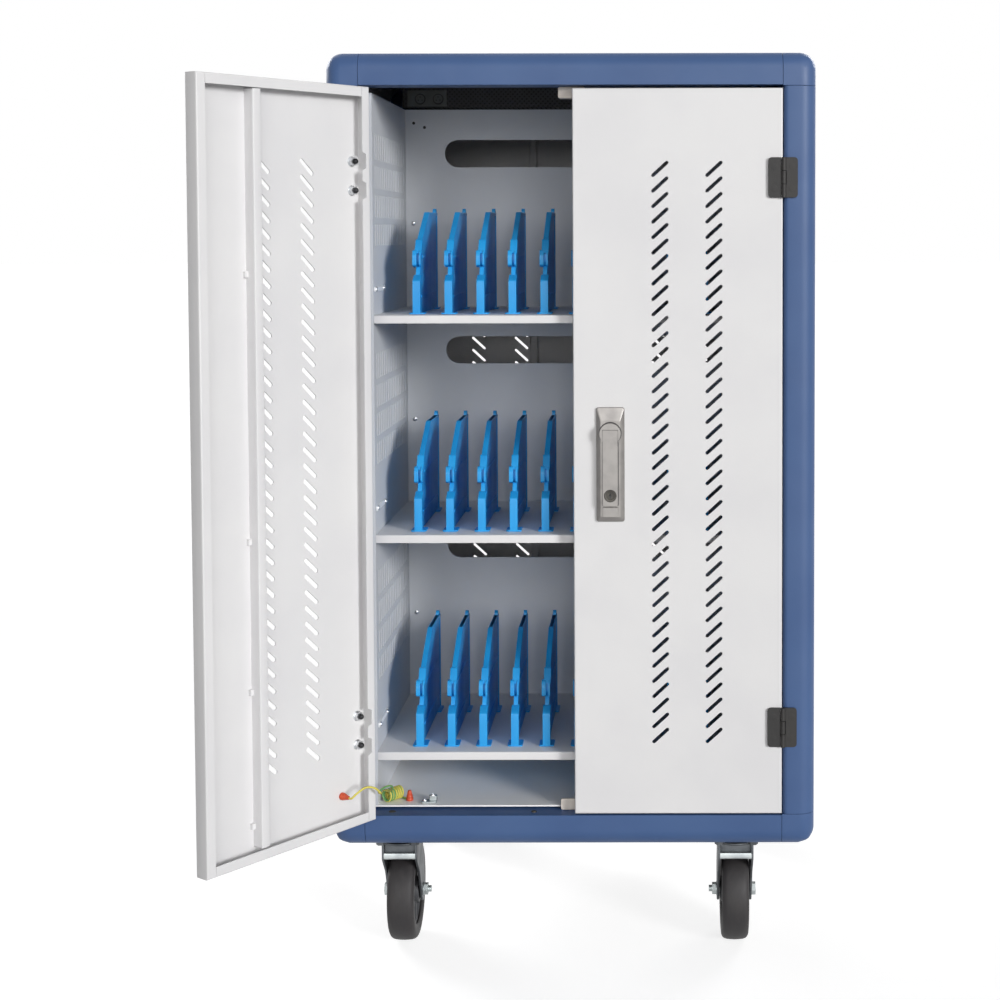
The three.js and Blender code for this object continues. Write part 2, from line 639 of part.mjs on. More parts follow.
// Lock: a bevelled housing, a spindle with its cam, a lever that lifts and turns, and a key cylinder in it
function lockHousing() {
  const seat = FRONT - FIT;
  const half = { x: LOCK_WIDTH / 2, z: LOCK_HEIGHT / 2 };
  const corners = (inset, y) => [[-1, -1], [1, -1], [1, 1], [-1, 1]].map(([i, k]) => [
    lockX + i * (half.x - inset), y, lockZ + k * (half.z - inset)]);
  const rings = [corners(0, seat), corners(0, seat - LOCK_BASE), corners(LOCK_BEVEL, seat - LOCK_PROUD)];
  const geometry = new THREE.BufferGeometry();
  geometry.setAttribute('position', new THREE.BufferAttribute(new Float32Array(rings.flat(2)), 3));
  const index = [0, 2, 1, 0, 3, 2];
  for (const ring of [0, 4]) {
    for (let i = 0; i < 4; i += 1) {
      const next = (i + 1) % 4;
      index.push(ring + i, ring + next, ring + 4 + i, ring + next, ring + 4 + next, ring + 4 + i);
    }
  }
  index.push(8, 9, 10, 8, 10, 11);
  geometry.setIndex(index);
  const plateau = seat - LOCK_PROUD;
  const capTop = headZ - LEVER_REACH - 2;
  const cap = box(lockX - CAP_WIDTH / 2, lockX + CAP_WIDTH / 2, plateau - CAP_PROUD, plateau + 1,
    capTop - CAP_HEIGHT, capTop);
  const hole = bar('y', lockX, headZ, SPINDLE_RADIUS + FIT, plateau - 1, seat + 1);
  return cut(join(geometry, cap), hole);
}

function makeLock() {
  const plateau = FRONT - FIT - LOCK_PROUD;
  const headBack = plateau - FIT;
  const headFront = headBack - LEVER_THICK;
  const pivotZ = headZ - LEVER_PIVOT_DROP;
  const round = LEVER_THICK / 2;
  const pivotY = headBack - round;
  const camFrom = FRONT + DOOR_THICK + FIT;
  const slot = LEVER_TONGUE / 2 + FIT;
  const slotTop = pivotZ + round + FIT;
  const head = cut(bar('y', lockX, headZ, LOCK_HEAD_RADIUS, headFront, headBack, 16),
    box(lockX - slot, lockX + slot, headFront - 1, headBack + 1, headZ - 2 * LOCK_HEAD_RADIUS, slotTop));
  const shaft = bar('y', lockX, headZ, SPINDLE_RADIUS, headBack - 1, camFrom + CAM_THICK);
  const shaftRelief = box(lockX - slot, lockX + slot, headFront - 1, headBack,
    headZ - LOCK_HEAD_RADIUS, slotTop);
  const cam = box(lockX - CAM_LENGTH, lockX + CAM_WIDTH / 2, camFrom, camFrom + CAM_THICK,
    headZ - CAM_WIDTH / 2, headZ + CAM_WIDTH / 2);
  add(cart, 'lock_housing', lockHousing(), ZINC);
  add(cart, 'lock_spindle', join(head, cut(shaft, shaftRelief), cam), ZINC);

  const leverLow = headZ - LEVER_REACH;
  const bodyTop = headZ - LEVER_BODY_DROP;
  const body = box(lockX - LEVER_WIDTH / 2, lockX + LEVER_WIDTH / 2, headFront, headBack, leverLow, bodyTop);
  const tongue = box(lockX - LEVER_TONGUE / 2, lockX + LEVER_TONGUE / 2, headFront, headBack,
    bodyTop - 1, pivotZ);
  const knuckle = bar('x', pivotY, pivotZ, round, lockX - LEVER_TONGUE / 2, lockX + LEVER_TONGUE / 2);
  const cylinderZ = headZ - CYLINDER_DROP;
  const bore = bar('y', lockX, cylinderZ, CYLINDER_RADIUS + FIT, headFront - 1, headBack + 1, 16);
  add(cart, 'lock_lever', cut(join(body, tongue, knuckle), bore), ZINC);
  const cylinderFront = headFront - CYLINDER_PROUD;
  const cylinder = bar('y', lockX, cylinderZ, CYLINDER_RADIUS, cylinderFront, headBack - FIT, 16);
  const keyway = box(lockX - 0.6, lockX + 0.6, headFront - 2, headFront + 3, cylinderZ - 4, cylinderZ + 4);
  add(cart, 'key_cylinder', cut(cylinder, keyway), ZINC);
}

// Strikes: blocks on the top and bottom rails, just behind the meeting edges of the doors
function makeStrikes() {
  const front = FRONT + DOOR_THICK + CAM_THICK + STRIKE_BEHIND_DOOR;
  const reach = STRIKE_WIDTH / 2;
  const upper = box(-reach, reach, front, front + STRIKE_DEPTH,
    OPENING_TOP - FIT - STRIKE_HEIGHT, OPENING_TOP - FIT);
  const back = SHELF_FRONT - FIT;
  const lowFront = FRONT + DOOR_THICK + FIT;
  const lower = box(-reach, reach, lowFront, back,
    OPENING_BOTTOM + FIT, OPENING_BOTTOM + FIT + STRIKE_HEIGHT);
  add(cart, 'upper_strike', upper, WHITE);
  add(cart, 'lower_strike', lower, WHITE);
}

// Castors: plate with raceway and rivet, pressed fork with its axle bolt, solid-tyred wheel
function castorPlate() {
  const top = CASTOR_HEIGHT - FIT;
  const low = top - CASTOR_PLATE_THICK;
  const raceway = low - RACEWAY_HEIGHT;
  const crownLow = raceway - FIT - CROWN_THICK;
  const [halfWidth, halfLength] = [CASTOR_PLATE_WIDTH / 2, CASTOR_PLATE_LENGTH / 2];
  return join(
    box(-halfWidth, halfWidth, -halfLength, halfLength, low, top),
    bar('z', 0, 0, RACEWAY_RADIUS, raceway, low + 1, WHEEL_SIDES),
    bar('z', 0, 0, KINGPIN_RADIUS, crownLow - FIT - 1, low + 1),
    bar('z', 0, 0, KINGPIN_HEAD, crownLow - FIT - 3, crownLow - FIT));
}

function castorFork() {
  const crownTop = CASTOR_HEIGHT - 2 * FIT - CASTOR_PLATE_THICK - RACEWAY_HEIGHT;
  const crownLow = crownTop - CROWN_THICK;
  const axle = WHEEL_DIAMETER / 2;
  const inner = HUB_WIDTH / 2 + 1;
  const outer = inner + FORK_SHEET;
  const lipBack = FORK_SHEET - FORK_LIP_AHEAD;
  const crown = join(bar('z', 0, 0, RACEWAY_RADIUS + 2, crownLow, crownTop, WHEEL_SIDES),
    box(-outer, outer, -FORK_LIP_AHEAD, RACEWAY_RADIUS, crownLow, crownTop));
  const leg = outline([
    [-FORK_LIP_AHEAD, crownTop], [-FORK_LIP_AHEAD, crownTop - FORK_LIP_DROP],
    ...FORK_END.map(([back, up]) => [CASTOR_TRAIL + back, axle + up]), [RACEWAY_RADIUS, crownTop],
  ]);
  const legs = [extrude(leg, 'yz', inner, outer), extrude(leg, 'yz', -outer, -inner)];
  const lip = box(-outer, outer, -FORK_LIP_AHEAD, lipBack, crownTop - FORK_LIP_DROP, crownTop);
  const boltEnd = outer + AXLE_HEAD_LENGTH;
  const bolt = bar('x', CASTOR_TRAIL, axle, AXLE_RADIUS, -boltEnd, boltEnd, HINGE_SIDES);
  const heads = [-1, 1].map((hand) => {
    const ends = [hand * (outer - 0.5), hand * (outer + AXLE_HEAD_LENGTH)];
    return bar('x', CASTOR_TRAIL, axle, AXLE_HEAD_RADIUS, Math.min(...ends), Math.max(...ends), 6);
  });
  const hole = bar('z', 0, 0, KINGPIN_RADIUS + FIT, crownLow - 1, crownTop + 1);
  return cut(join(crown, ...legs, lip, bolt, ...heads), hole);
}

// The rolling facets are tangent to the wheel's circle, so the castor stands at its true height
function castorWheel() {
  const tread = WHEEL_DIAMETER / 2 / Math.cos(Math.PI / WHEEL_SIDES);
  const bore = AXLE_RADIUS + FIT;
  const half = WHEEL_WIDTH / 2;
  const hub = HUB_WIDTH / 2;
  const profile = [
    [bore, -hub], [HUB_RADIUS, -hub], [RIM_RADIUS, -WEB_HALF], [tread - TREAD_ROUND, -half],
    [tread, TREAD_ROUND - half], [tread, half - TREAD_ROUND], [tread - TREAD_ROUND, half],
    [RIM_RADIUS, WEB_HALF], [HUB_RADIUS, hub], [bore, hub], [bore, -hub],
  ];
  const geometry = new THREE.LatheGeometry(profile.map(([r, y]) => new THREE.Vector2(r, y)), WHEEL_SIDES);
  geometry.rotateY(Math.PI / WHEEL_SIDES).rotateZ(-Math.PI / 2);
  return bare(geometry.translate(0, CASTOR_TRAIL, WHEEL_DIAMETER / 2));
}

function makeCastors() {
  const [plate, fork, wheel] = [castorPlate(), castorFork(), castorWheel()];
  const places = {
    front_left: [-1, -1], front_right: [1, -1], rear_left: [-1, 1], rear_right: [1, 1],
  };
  for (const [place, [i, j]] of Object.entries(places)) {
    const castor = new THREE.Group();
    castor.position.set(CASTOR_CENTRE + i * (SIDE - CASTOR_INSET), j * (REAR - KINGPIN_SETBACK), 0);
    cart.add(castor);
    add(castor, `${place}_castor_plate`, plate, ZINC);
    add(castor, `${place}_castor_fork`, fork, ZINC);
    add(castor, `${place}_castor_wheel`, wheel, RUBBER);
  }
}

// Earth lead: from a boot on the left door, through a curly stretch on the floor, to a boot on the floor
function tube(points, radius, sides) {
  const vertices = [];
  const index = [];
  const tangentAt = (i) => {
    const ahead = points[Math.min(i + 1, points.length - 1)];
    return ahead.clone().sub(points[Math.max(i - 1, 0)]).normalize();
  };
  let side = new THREE.Vector3(0, 0, 1).cross(tangentAt(0)).normalize();
  if (side.lengthSq() < 0.5) side = new THREE.Vector3(1, 0, 0);
  points.forEach((point, i) => {
    const tangent = tangentAt(i);
    side.addScaledVector(tangent, -side.dot(tangent)).normalize();
    const up = tangent.clone().cross(side);
    for (let k = 0; k < sides; k += 1) {
      const angle = (2 * Math.PI * k) / sides;
      const rim = point.clone().addScaledVector(side, radius * Math.cos(angle));
      rim.addScaledVector(up, radius * Math.sin(angle));
      vertices.push(rim.x, rim.y, rim.z);
    }
  });
  const last = points.length - 1;
  for (let i = 0; i < last; i += 1) {
    for (let k = 0; k < sides; k += 1) {
      const a = i * sides + k;
      const b = i * sides + ((k + 1) % sides);
      index.push(a, b, a + sides, b, b + sides, a + sides);
    }
  }
  for (let k = 1; k < sides - 1; k += 1) {
    index.push(0, k + 1, k, last * sides, last * sides + k, last * sides + k + 1);
  }
  const geometry = new THREE.BufferGeometry();
  geometry.setAttribute('position', new THREE.BufferAttribute(new Float32Array(vertices), 3));
  geometry.setIndex(index);
  return geometry;
}

// A point on the open left door: along it from the hinge axis, in from its outer face, and up from the floor
function onLeftDoor(along, inwards, z) {
  const angle = THREE.MathUtils.degToRad(LEFT_DOOR_OPEN);
  const depth = HINGE_AXIS_PROUD + inwards;
  return new THREE.Vector3(
    -HINGE_AXIS.x + along * Math.cos(angle) + depth * Math.sin(angle),
    HINGE_AXIS.y - along * Math.sin(angle) + depth * Math.cos(angle), z);
}

const curlHeight = FLOOR + CURL_RADIUS + LEAD_RADIUS + FIT;
const curlStart = new THREE.Vector3(CURL_FROM.x, CURL_FROM.y, curlHeight);
const curlEnd = new THREE.Vector3(CURL_TO.x, CURL_TO.y, curlHeight);
const curlAxis = curlEnd.clone().sub(curlStart).normalize();
const curlSide = new THREE.Vector3(-curlAxis.y, curlAxis.x, 0);

function curlPoints() {
  const steps = Math.round(CURL_TURNS * CURL_STEPS);
  const straight = 2 * LEAD_RADIUS;
  const points = [];
  for (let i = 0; i <= steps; i += 1) {
    const turn = i / CURL_STEPS;
    const angle = Math.PI / 2 - 2 * Math.PI * turn;
    const point = curlStart.clone().lerp(curlEnd, i / steps);
    point.addScaledVector(curlSide, CURL_RADIUS * Math.cos(angle));
    point.z += CURL_RADIUS * Math.sin(angle);
    points.push(point);
  }
  points.unshift(points[0].clone().addScaledVector(curlSide, -straight));
  points.push(points.at(-1).clone().addScaledVector(curlSide, -LEAD_TAIL));
  return points;
}

function leastSelfGap(points, radius, turnSteps) {
  let least = Infinity;
  for (let i = 0; i < points.length; i += 1) {
    for (let j = i + turnSteps / 2; j < points.length; j += 1) {
      least = Math.min(least, points[i].distanceTo(points[j]) - 2 * radius);
    }
  }
  return least;
}

function boot(sides) {
  const profile = [[0, 0], [BOOT_RADIUS, 0], [BOOT_RADIUS, 4], [BOOT_TIP, BOOT_LENGTH], [0, BOOT_LENGTH]];
  return bare(new THREE.LatheGeometry(profile.map(([r, y]) => new THREE.Vector2(r, y)), sides));
}

function makeEarthLead() {
  const bootZ = TOP - BOOT_DROP;
  const curl = curlPoints();
  console.log(`earth lead curls, least gap ${leastSelfGap(curl, LEAD_RADIUS, CURL_STEPS).toFixed(2)} mm`);
  const seat = SHEET + FIT;
  const route = [
    onLeftDoor(BOOT_ALONG, seat + BOOT_LENGTH + FIT, bootZ),
    onLeftDoor(BOOT_ALONG, seat + BOOT_LENGTH + 4, bootZ),
    onLeftDoor(37, 24, bootZ + 6),
    onLeftDoor(27, 29, bootZ + 12),
    onLeftDoor(15, 32, bootZ + 9),
    onLeftDoor(6, 33, bootZ + 1),
    new THREE.Vector3(-239, -292, bootZ - 4),
    new THREE.Vector3(-234, -277, bootZ - 3),
    new THREE.Vector3(-228, -263, bootZ - 6),
    new THREE.Vector3(-228.5, -254, bootZ - 13),
    curl[0].clone().addScaledVector(curlSide, -3),
    curl[0].clone().addScaledVector(curlSide, -FIT),
  ];
  const stretch = new THREE.CatmullRomCurve3(route).getSpacedPoints(LEAD_STEPS);
  add(cart, 'earth_lead', tube(stretch, LEAD_RADIUS, LEAD_STRETCH_SIDES), EARTH_GREEN_YELLOW);
  add(cart, 'earth_lead_curls', tube(curl, LEAD_RADIUS, LEAD_SIDES), EARTH_GREEN_YELLOW);

  const doorBoot = boot(BOOT_SIDES).translate(BOOT_ALONG - HINGE_AXIS.x, FRONT + seat, bootZ);
  add(leftDoor, 'door_earth_boot', doorBoot, BOOT_RED);
  const tailEnd = curl.at(-1).clone().addScaledVector(curlSide, -(BOOT_RADIUS + FIT));
  const floorBoot = boot(BOOT_SIDES).rotateX(Math.PI / 2).translate(tailEnd.x, tailEnd.y, FLOOR + FIT);
  add(cart, 'floor_earth_boot', floorBoot, BOOT_RED);
}

makeFrame();
makeSkin();
makeWalls();
makePartition();
const SHELF_NAMES = ['lower', 'middle', 'upper'];
SHELF_NAMES.forEach((level, bay) => {
  makeShelf(`${level}_shelf`, shelfTop(bay));
  makeDividers(`${level}_dividers`, shelfTop(bay));
});
makePowerUnit();
makeDoors();
makeHinges();
makeLock();
makeStrikes();
makeCastors();
makeEarthLead();

export default cart;
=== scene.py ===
# Laptop charging cart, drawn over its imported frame. +Z is up and the front faces -Y.
# Sizes are millimetres, and piece() scales each mesh to metres.
import math

import bmesh
import bpy
from mathutils import Matrix, Vector


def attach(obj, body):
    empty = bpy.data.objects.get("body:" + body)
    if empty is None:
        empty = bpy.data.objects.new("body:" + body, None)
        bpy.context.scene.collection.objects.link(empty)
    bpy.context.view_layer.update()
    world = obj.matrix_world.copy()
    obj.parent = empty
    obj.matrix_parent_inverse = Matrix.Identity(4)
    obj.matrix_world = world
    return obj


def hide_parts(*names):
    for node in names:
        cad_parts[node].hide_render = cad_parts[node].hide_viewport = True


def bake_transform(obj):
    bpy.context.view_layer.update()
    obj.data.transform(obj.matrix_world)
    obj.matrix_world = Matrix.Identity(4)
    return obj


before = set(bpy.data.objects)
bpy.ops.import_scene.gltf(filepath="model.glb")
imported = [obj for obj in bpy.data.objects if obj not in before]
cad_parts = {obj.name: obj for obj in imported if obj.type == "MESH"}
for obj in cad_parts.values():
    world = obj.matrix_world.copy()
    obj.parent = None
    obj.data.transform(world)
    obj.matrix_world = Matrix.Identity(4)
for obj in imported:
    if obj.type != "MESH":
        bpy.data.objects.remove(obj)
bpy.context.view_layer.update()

MM = 0.001
TAU = 2 * math.pi

# Cabinet
TOP = 1139.0
BOTTOM = 157.0
SIDE = 300.0
FRONT = -280.0
REAR = 280.0
PROFILE = 40.0
ROUND = 20.0
BLOCK = 41.0
SEAM = 0.4
SKIN = 2.0
SHEET = 1.5
RING_END = 239.7
SHOULDER = 21.0
FLOOR = 202.0

# Inside
WALL = 246.0
WALL_TOP = 1091.5
SHELF_FRONT = -255.0
SHELF_BACK = 26.7
PARTITION = 27.0
SHELF_TOPS = {"lower": 269.5, "middle": 543.5, "upper": 817.5}
BAY = 274.0

# Doors
DOOR_LOW = 199.0
DOOR_HIGH = 1095.0
DOOR_BACK = FRONT + 20
DOOR_EDGE = 258.7
REAR_EDGE = 255.5
DOOR_FREE = 2.0
DOOR_LIP = 12.0
HINGE_X = 259.7
HINGE_Y = -284.0
LEFT_DOOR_OPEN = math.radians(127)

# Gap between pieces that lie against each other, and the sides, ends and levels that pieces repeat on
FIT = 0.3
SIDES = {"left": -1, "right": 1}
ENDS = {"front": 1, "rear": -1}
LEVELS = {"top": 1, "bottom": -1}

# Camera, fitted to edges measured on the photograph, in pixels, millimetres and degrees
PICTURE = 1000
FOCAL = 1737.6
AXIS_PIXEL = (658.3, 322.7)
CAMERA_PLACE = (108.3, -2403.9, 912.3)
CAMERA_YAW = 0.047
CAMERA_PITCH = -2.783
CAMERA_ROLL = -0.100


def add(name, data):
    """A new object in the scene."""
    thing = bpy.data.objects.new(name, data)
    bpy.context.scene.collection.objects.link(thing)
    return thing


def make_camera():
    data = bpy.data.cameras.new("photo_camera")
    data.sensor_width = 36
    data.lens = data.sensor_width * FOCAL / PICTURE
    data.shift_x = 0.5 - AXIS_PIXEL[0] / PICTURE
    data.shift_y = AXIS_PIXEL[1] / PICTURE - 0.5
    camera = add("photo_camera", data)
    place = Matrix.Translation(Vector(CAMERA_PLACE) * MM)
    for angle, axis in ((CAMERA_YAW, "Z"), (90 + CAMERA_PITCH, "X"), (CAMERA_ROLL, "Z")):
        place = place @ Matrix.Rotation(math.radians(angle), 4, axis)
    camera.matrix_world = place
    bpy.context.scene.camera = camera


make_camera()


# Finishes
def tone(red, green, blue):
    """A colour as it looks on a screen, 0 to 255, in the shader's own linear scale."""
    channels = [c / 255 for c in (red, green, blue)]
    return tuple(c / 12.92 if c < 0.04045 else ((c + 0.055) / 1.055) ** 2.4 for c in channels) + (1.0,)


class Level:
    """A number that changes over a surface. Arithmetic on it adds Math nodes."""

    def __init__(self, finish, socket):
        self.finish = finish
        self.socket = socket

    def maths(self, operation, first, second=0.0):
        return self.finish.node("ShaderNodeMath", {"operation": operation}, {0: first, 1: second})

    def __add__(self, other):
        return self.maths("ADD", self, other)

    __radd__ = __add__

    def __sub__(self, other):
        return self.maths("SUBTRACT", self, other)

    def __rsub__(self, other):
        return self.maths("SUBTRACT", other, self)

    def __mul__(self, other):
        return self.maths("MULTIPLY", self, other)

    __rmul__ = __mul__

    def sine(self):
        return self.maths("SINE", self)

    def between(self, low, high):
        """0 below low, 1 above high, and a smooth step from one to the other."""
        limits = {"Value": self, "From Min": low, "From Max": high}
        return self.finish.node("ShaderNodeMapRange", {"interpolation_type": "SMOOTHSTEP"}, limits)


class Finish:
    """Nodes of a material or world: constants go on the shader's own sockets, what varies is linked."""

    def __init__(self, name, makers=bpy.data.materials, shader="Principled BSDF", **constants):
        self.holder = makers.new(name)
        self.holder.use_nodes = True
        self.tree = self.holder.node_tree
        self.shader = self.tree.nodes[shader]
        self.vary(**constants)

    def node(self, kind, settings=None, inputs=None, output=0):
        node = self.tree.nodes.new(kind)
        for name, value in (settings or {}).items():
            setattr(node, name, value)
        for key, value in (inputs or {}).items():
            self.feed(node.inputs[key], value)
        return Level(self, node.outputs[output])

    def feed(self, socket, value):
        if isinstance(value, Level):
            self.tree.links.new(value.socket, socket)
        else:
            socket.default_value = value

    def vary(self, **sockets):
        for name, value in sockets.items():
            self.feed(self.shader.inputs[name.replace("_", " ")], value)

    def place(self):
        return self.node("ShaderNodeTexCoord", output="Object")

    def along(self, axis):
        return self.node("ShaderNodeSeparateXYZ", {}, {0: self.place()}, output=axis)

    def noise(self, grain, detail=2.0, stretch=(1, 1, 1)):
        """Smooth noise from 0 to 1 in blotches about grain millimetres across, longer where stretched."""
        squeeze = tuple(1 / part for part in stretch)
        seat = self.node("ShaderNodeMapping", {}, {"Vector": self.place(), "Scale": squeeze})
        inputs = {"Vector": seat, "Scale": 1 / (grain * MM), "Detail": detail}
        return self.node("ShaderNodeTexNoise", {}, inputs)

    def blend(self, share, first, second):
        inputs = {"Factor": share, 6: first, 7: second}
        return self.node("ShaderNodeMix", {"data_type": "RGBA"}, inputs, output=2)

    def relief(self, height, depth):
        """Bumps of about depth millimetres where height goes from 0 to 1."""
        inputs = {"Height": height, "Distance": depth * MM, "Strength": 1}
        self.vary(Normal=self.node("ShaderNodeBump", {}, inputs))

    def seen(self):
        """1 for what the camera sees, straight or in metal and glass, and 0 for what lights the cart."""
        rays = ("Is Camera Ray", "Is Glossy Ray", "Is Transmission Ray")
        camera, gloss, glass = (self.node("ShaderNodeLightPath", output=ray) for ray in rays)
        return (camera + gloss + glass).between(0, 1)


def powder_coat(name, colour, shade, roughness):
    """Baked powder paint: a slightly uneven colour and a fine orange peel, duller where it is handled."""
    finish = Finish(name, Coat_Roughness=0.35)
    clouds = finish.noise(140, 4)
    specks = finish.noise(2.2, 1)
    finish.vary(Base_Color=finish.blend(clouds.between(0.35, 0.7), tone(*colour), tone(*shade)),
                Roughness=roughness + 0.1 * clouds + 0.06 * specks,
                Coat_Weight=0.12 * finish.noise(60).between(0.3, 0.8))
    finish.relief(specks + 0.5 * finish.noise(0.9, 1), 0.05)
    return finish.holder


def moulded_plastic(name, colour, shade, roughness, grain=0.6, depth=0.03):
    """Injection moulded plastic with a faint spark-eroded grain and flow marks along its length."""
    finish = Finish(name, IOR=1.49)
    flow = finish.noise(30, 3, (1, 1, 4))
    finish.vary(Base_Color=finish.blend(flow.between(0.3, 0.75), tone(*colour), tone(*shade)),
                Roughness=roughness + 0.14 * flow)
    finish.relief(finish.noise(grain, 1), depth)
    return finish.holder


def plated_metal(name, colour, shade, roughness, stretch=(1, 1, 1), grain=3.0):
    """Plated or cast metal: cloudy plating, fine drawn lines along one way and a few dull patches."""
    finish = Finish(name, Metallic=1.0)
    clouds = finish.noise(18, 3)
    lines = finish.noise(grain, 2, stretch)
    finish.vary(Base_Color=finish.blend(clouds.between(0.35, 0.75), tone(*colour), tone(*shade)),
                Roughness=roughness + 0.16 * clouds + 0.08 * lines)
    finish.relief(lines, 0.012)
    return finish.holder


def tyre_rubber():
    """Worn grey rubber: scuffed and dusty round the tread, with fine pores."""
    finish = Finish("tyre_rubber", IOR=1.52)
    scuffs = finish.noise(9, 5, (1, 1, 3))
    dust = finish.noise(40, 3)
    worn = finish.blend(scuffs.between(0.45, 0.8), tone(27, 24, 26), tone(42, 39, 40))
    finish.vary(Base_Color=finish.blend(0.4 * dust.between(0.45, 0.8), worn, tone(53, 50, 48)),
                Roughness=0.5 + 0.25 * scuffs)
    finish.relief(scuffs + 0.6 * finish.noise(1.2, 2), 0.12)
    return finish.holder


def vent_grille():
    """Black power unit housing with rows of small round holes on its faces. The holes are dents painted
    darker, and that darkness is painted shade.
    """
    finish = Finish("black_housing_and_hole_shade", IOR=1.5)
    pitch = TAU / (6.5 * MM)
    across = (pitch * finish.along("X")).sine()
    upright = (pitch * finish.along("Z")).sine()
    # The holes' darker colour is painted shade.
    holes = (across * upright).between(0.25, 0.5)
    fine = finish.noise(0.8, 1)
    finish.vary(Base_Color=finish.blend(holes, tone(34, 34, 37), tone(6, 6, 7)),
                Roughness=0.42 + 0.2 * fine + 0.2 * holes)
    finish.relief(fine * 0.2 - holes, 0.6)
    return finish.holder


SLATE_BLUE = powder_coat("slate_blue_coat", (57, 86, 131), (52, 80, 125), 0.44)
DOOR_WHITE = powder_coat("white_coat", (224, 223, 223), (219, 218, 219), 0.4)
INNER_WHITE = powder_coat("inner_white_coat", (214, 216, 219), (207, 209, 213), 0.5)
# Painted light: the floor plate's white is lighter than the cart's other white coats. It stands in for light
# reaching the low space under the lowest shelf.
FLOOR_WHITE_PAINTED_LIGHT = powder_coat("floor_white_painted_light_coat", (248, 247, 246), (244, 243, 242), 0.5)
STRIP_WHITE = powder_coat("strip_white_coat", (246, 247, 248), (240, 241, 243), 0.35)
SKY_BLUE = moulded_plastic("sky_blue_plastic", (38, 160, 228), (30, 147, 218), 0.34)
HINGE_BLACK = moulded_plastic("black_cast_coat", (28, 26, 25), (21, 20, 20), 0.52, grain=1.4, depth=0.12)
# Painted shade: a dark steel for the screw ends inside the doors, where it paints dark reflections on their
# domes. It is also used for the thin plate behind the lock lever and head, where it paints the shadow in the
# gap round them.
PAINTED_SHADE_STEEL = plated_metal("painted_shade_steel", (66, 66, 68), (48, 48, 50), 0.4)
CREAM = moulded_plastic("cream_plastic", (228, 219, 208), (219, 209, 197), 0.4)
SATIN_ZINC = plated_metal("satin_zinc", (144, 141, 138), (132, 129, 127), 0.34, (1, 1, 5), grain=2.0)
ZINC_PLATE = plated_metal("zinc_plate", (186, 192, 192), (160, 166, 168), 0.3)
BRIGHT_STEEL = plated_metal("bright_steel", (214, 216, 218), (198, 200, 203), 0.16)
# Also used for thin dark discs that stand for holes. There its darkness is painted shade.
KEY_STEEL_AND_HOLE_SHADE = plated_metal("key_steel_and_hole_shade", (84, 82, 78), (62, 60, 58), 0.46)
TYRE = tyre_rubber()
HUB_GREY = moulded_plastic("hub_plastic", (74, 75, 78), (62, 63, 66), 0.45)
BLACK_HOUSING_AND_HOLE_SHADE = vent_grille()
SOCKET_GREY = moulded_plastic("socket_panel_plastic", (98, 100, 96), (82, 84, 80), 0.5)
SOCKET_BLACK = moulded_plastic("socket_plastic", (16, 16, 17), (10, 10, 11), 0.4)
# Painted shade: a darker copy of the zinc plating for the castor forks and top plates. It stands in for the
# shade and dark reflections under the cart.
SHADED_ZINC = plated_metal("shaded_fork_zinc", (98, 101, 104), (72, 75, 78), 0.36)
LEAD_YELLOW = moulded_plastic("yellow_sleeve", (216, 204, 96), (204, 192, 82), 0.4)
LEAD_GREEN = moulded_plastic("green_sleeve", (112, 166, 104), (98, 152, 92), 0.4)
BOOT_RED = moulded_plastic("orange_red_boot", (206, 84, 48), (190, 66, 36), 0.35)


# Mesh makers: each adds to a bmesh in millimetres
def on_axis(axis, a, b, along):
    return {"x": (along, a, b), "y": (a, along, b), "z": (a, b, along)}[axis]


def span(hand, near, far):
    """Two distances from the middle, on the side that hand gives, as coordinates in rising order."""
    return sorted((hand * near, hand * far))


def skin_between(shape, near, far):
    """Quads from one closed row of points to the next."""
    for i in range(len(near)):
        shape.faces.new((near[i - 1], near[i], far[i], far[i - 1]))


def prism(shape, axis, outline, start, end):
    """An outline in the plane across an axis, drawn out along it."""
    near, far = ([shape.verts.new(on_axis(axis, a, b, along)) for a, b in outline] for along in (start, end))
    shape.faces.new(near)
    shape.faces.new(far[::-1])
    skin_between(shape, near, far)
    return shape


def block(shape, x0, x1, y0, y1, z0, z1):
    return prism(shape, "z", rectangle(x0, x1, y0, y1), z0, z1)


def lathe(shape, axis, a, b, profile, steps=32, seat=0.0, way=1):
    """A profile of (radius, rise) turned round the axis through a and b, rising from the seat along way."""
    rings = []
    for radius, rise in profile:
        turns = [TAU * i / steps for i in range(steps if radius else 1)]
        rings.append([shape.verts.new(on_axis(axis, a + radius * math.cos(t), b + radius * math.sin(t),
                                              seat + way * rise)) for t in turns])
    for near, far in zip(rings, rings[1:]):
        for i in range(steps):
            corners = [ring[k % len(ring)] for ring, k in ((near, i - 1), (near, i), (far, i), (far, i - 1))]
            shape.faces.new(list(dict.fromkeys(corners)))
    return shape


def drum(shape, axis, a, b, radius, start, end, steps=32, edge=0.4):
    """A round bar with slightly broken edges."""
    way = edge if end > start else -edge
    lathe(shape, axis, a, b, [(0, start), (radius - edge, start), (radius, start + way),
                              (radius, end - way), (radius - edge, end), (0, end)], steps)


def hexagon(shape, axis, a, b, radius, start, end):
    prism(shape, axis, arc(a, b, radius, 0, 300, 5), start, end)


def tapered(shape, rings):
    """Rings with equal counts of points, joined one after another and closed at both ends."""
    rows = [[shape.verts.new(point) for point in ring] for ring in rings]
    shape.faces.new(rows[0])
    shape.faces.new(rows[-1][::-1])
    for near, far in zip(rows, rows[1:]):
        skin_between(shape, near, far)


def mesh_of(name, shape):
    mesh = bpy.data.meshes.new(name)
    shape.to_mesh(mesh)
    shape.free()
    return mesh


def join(shape, extra):
    """Moves all that is in the second bmesh into the first."""
    mesh = mesh_of("joined", extra)
    shape.from_mesh(mesh)
    bpy.data.meshes.remove(mesh)


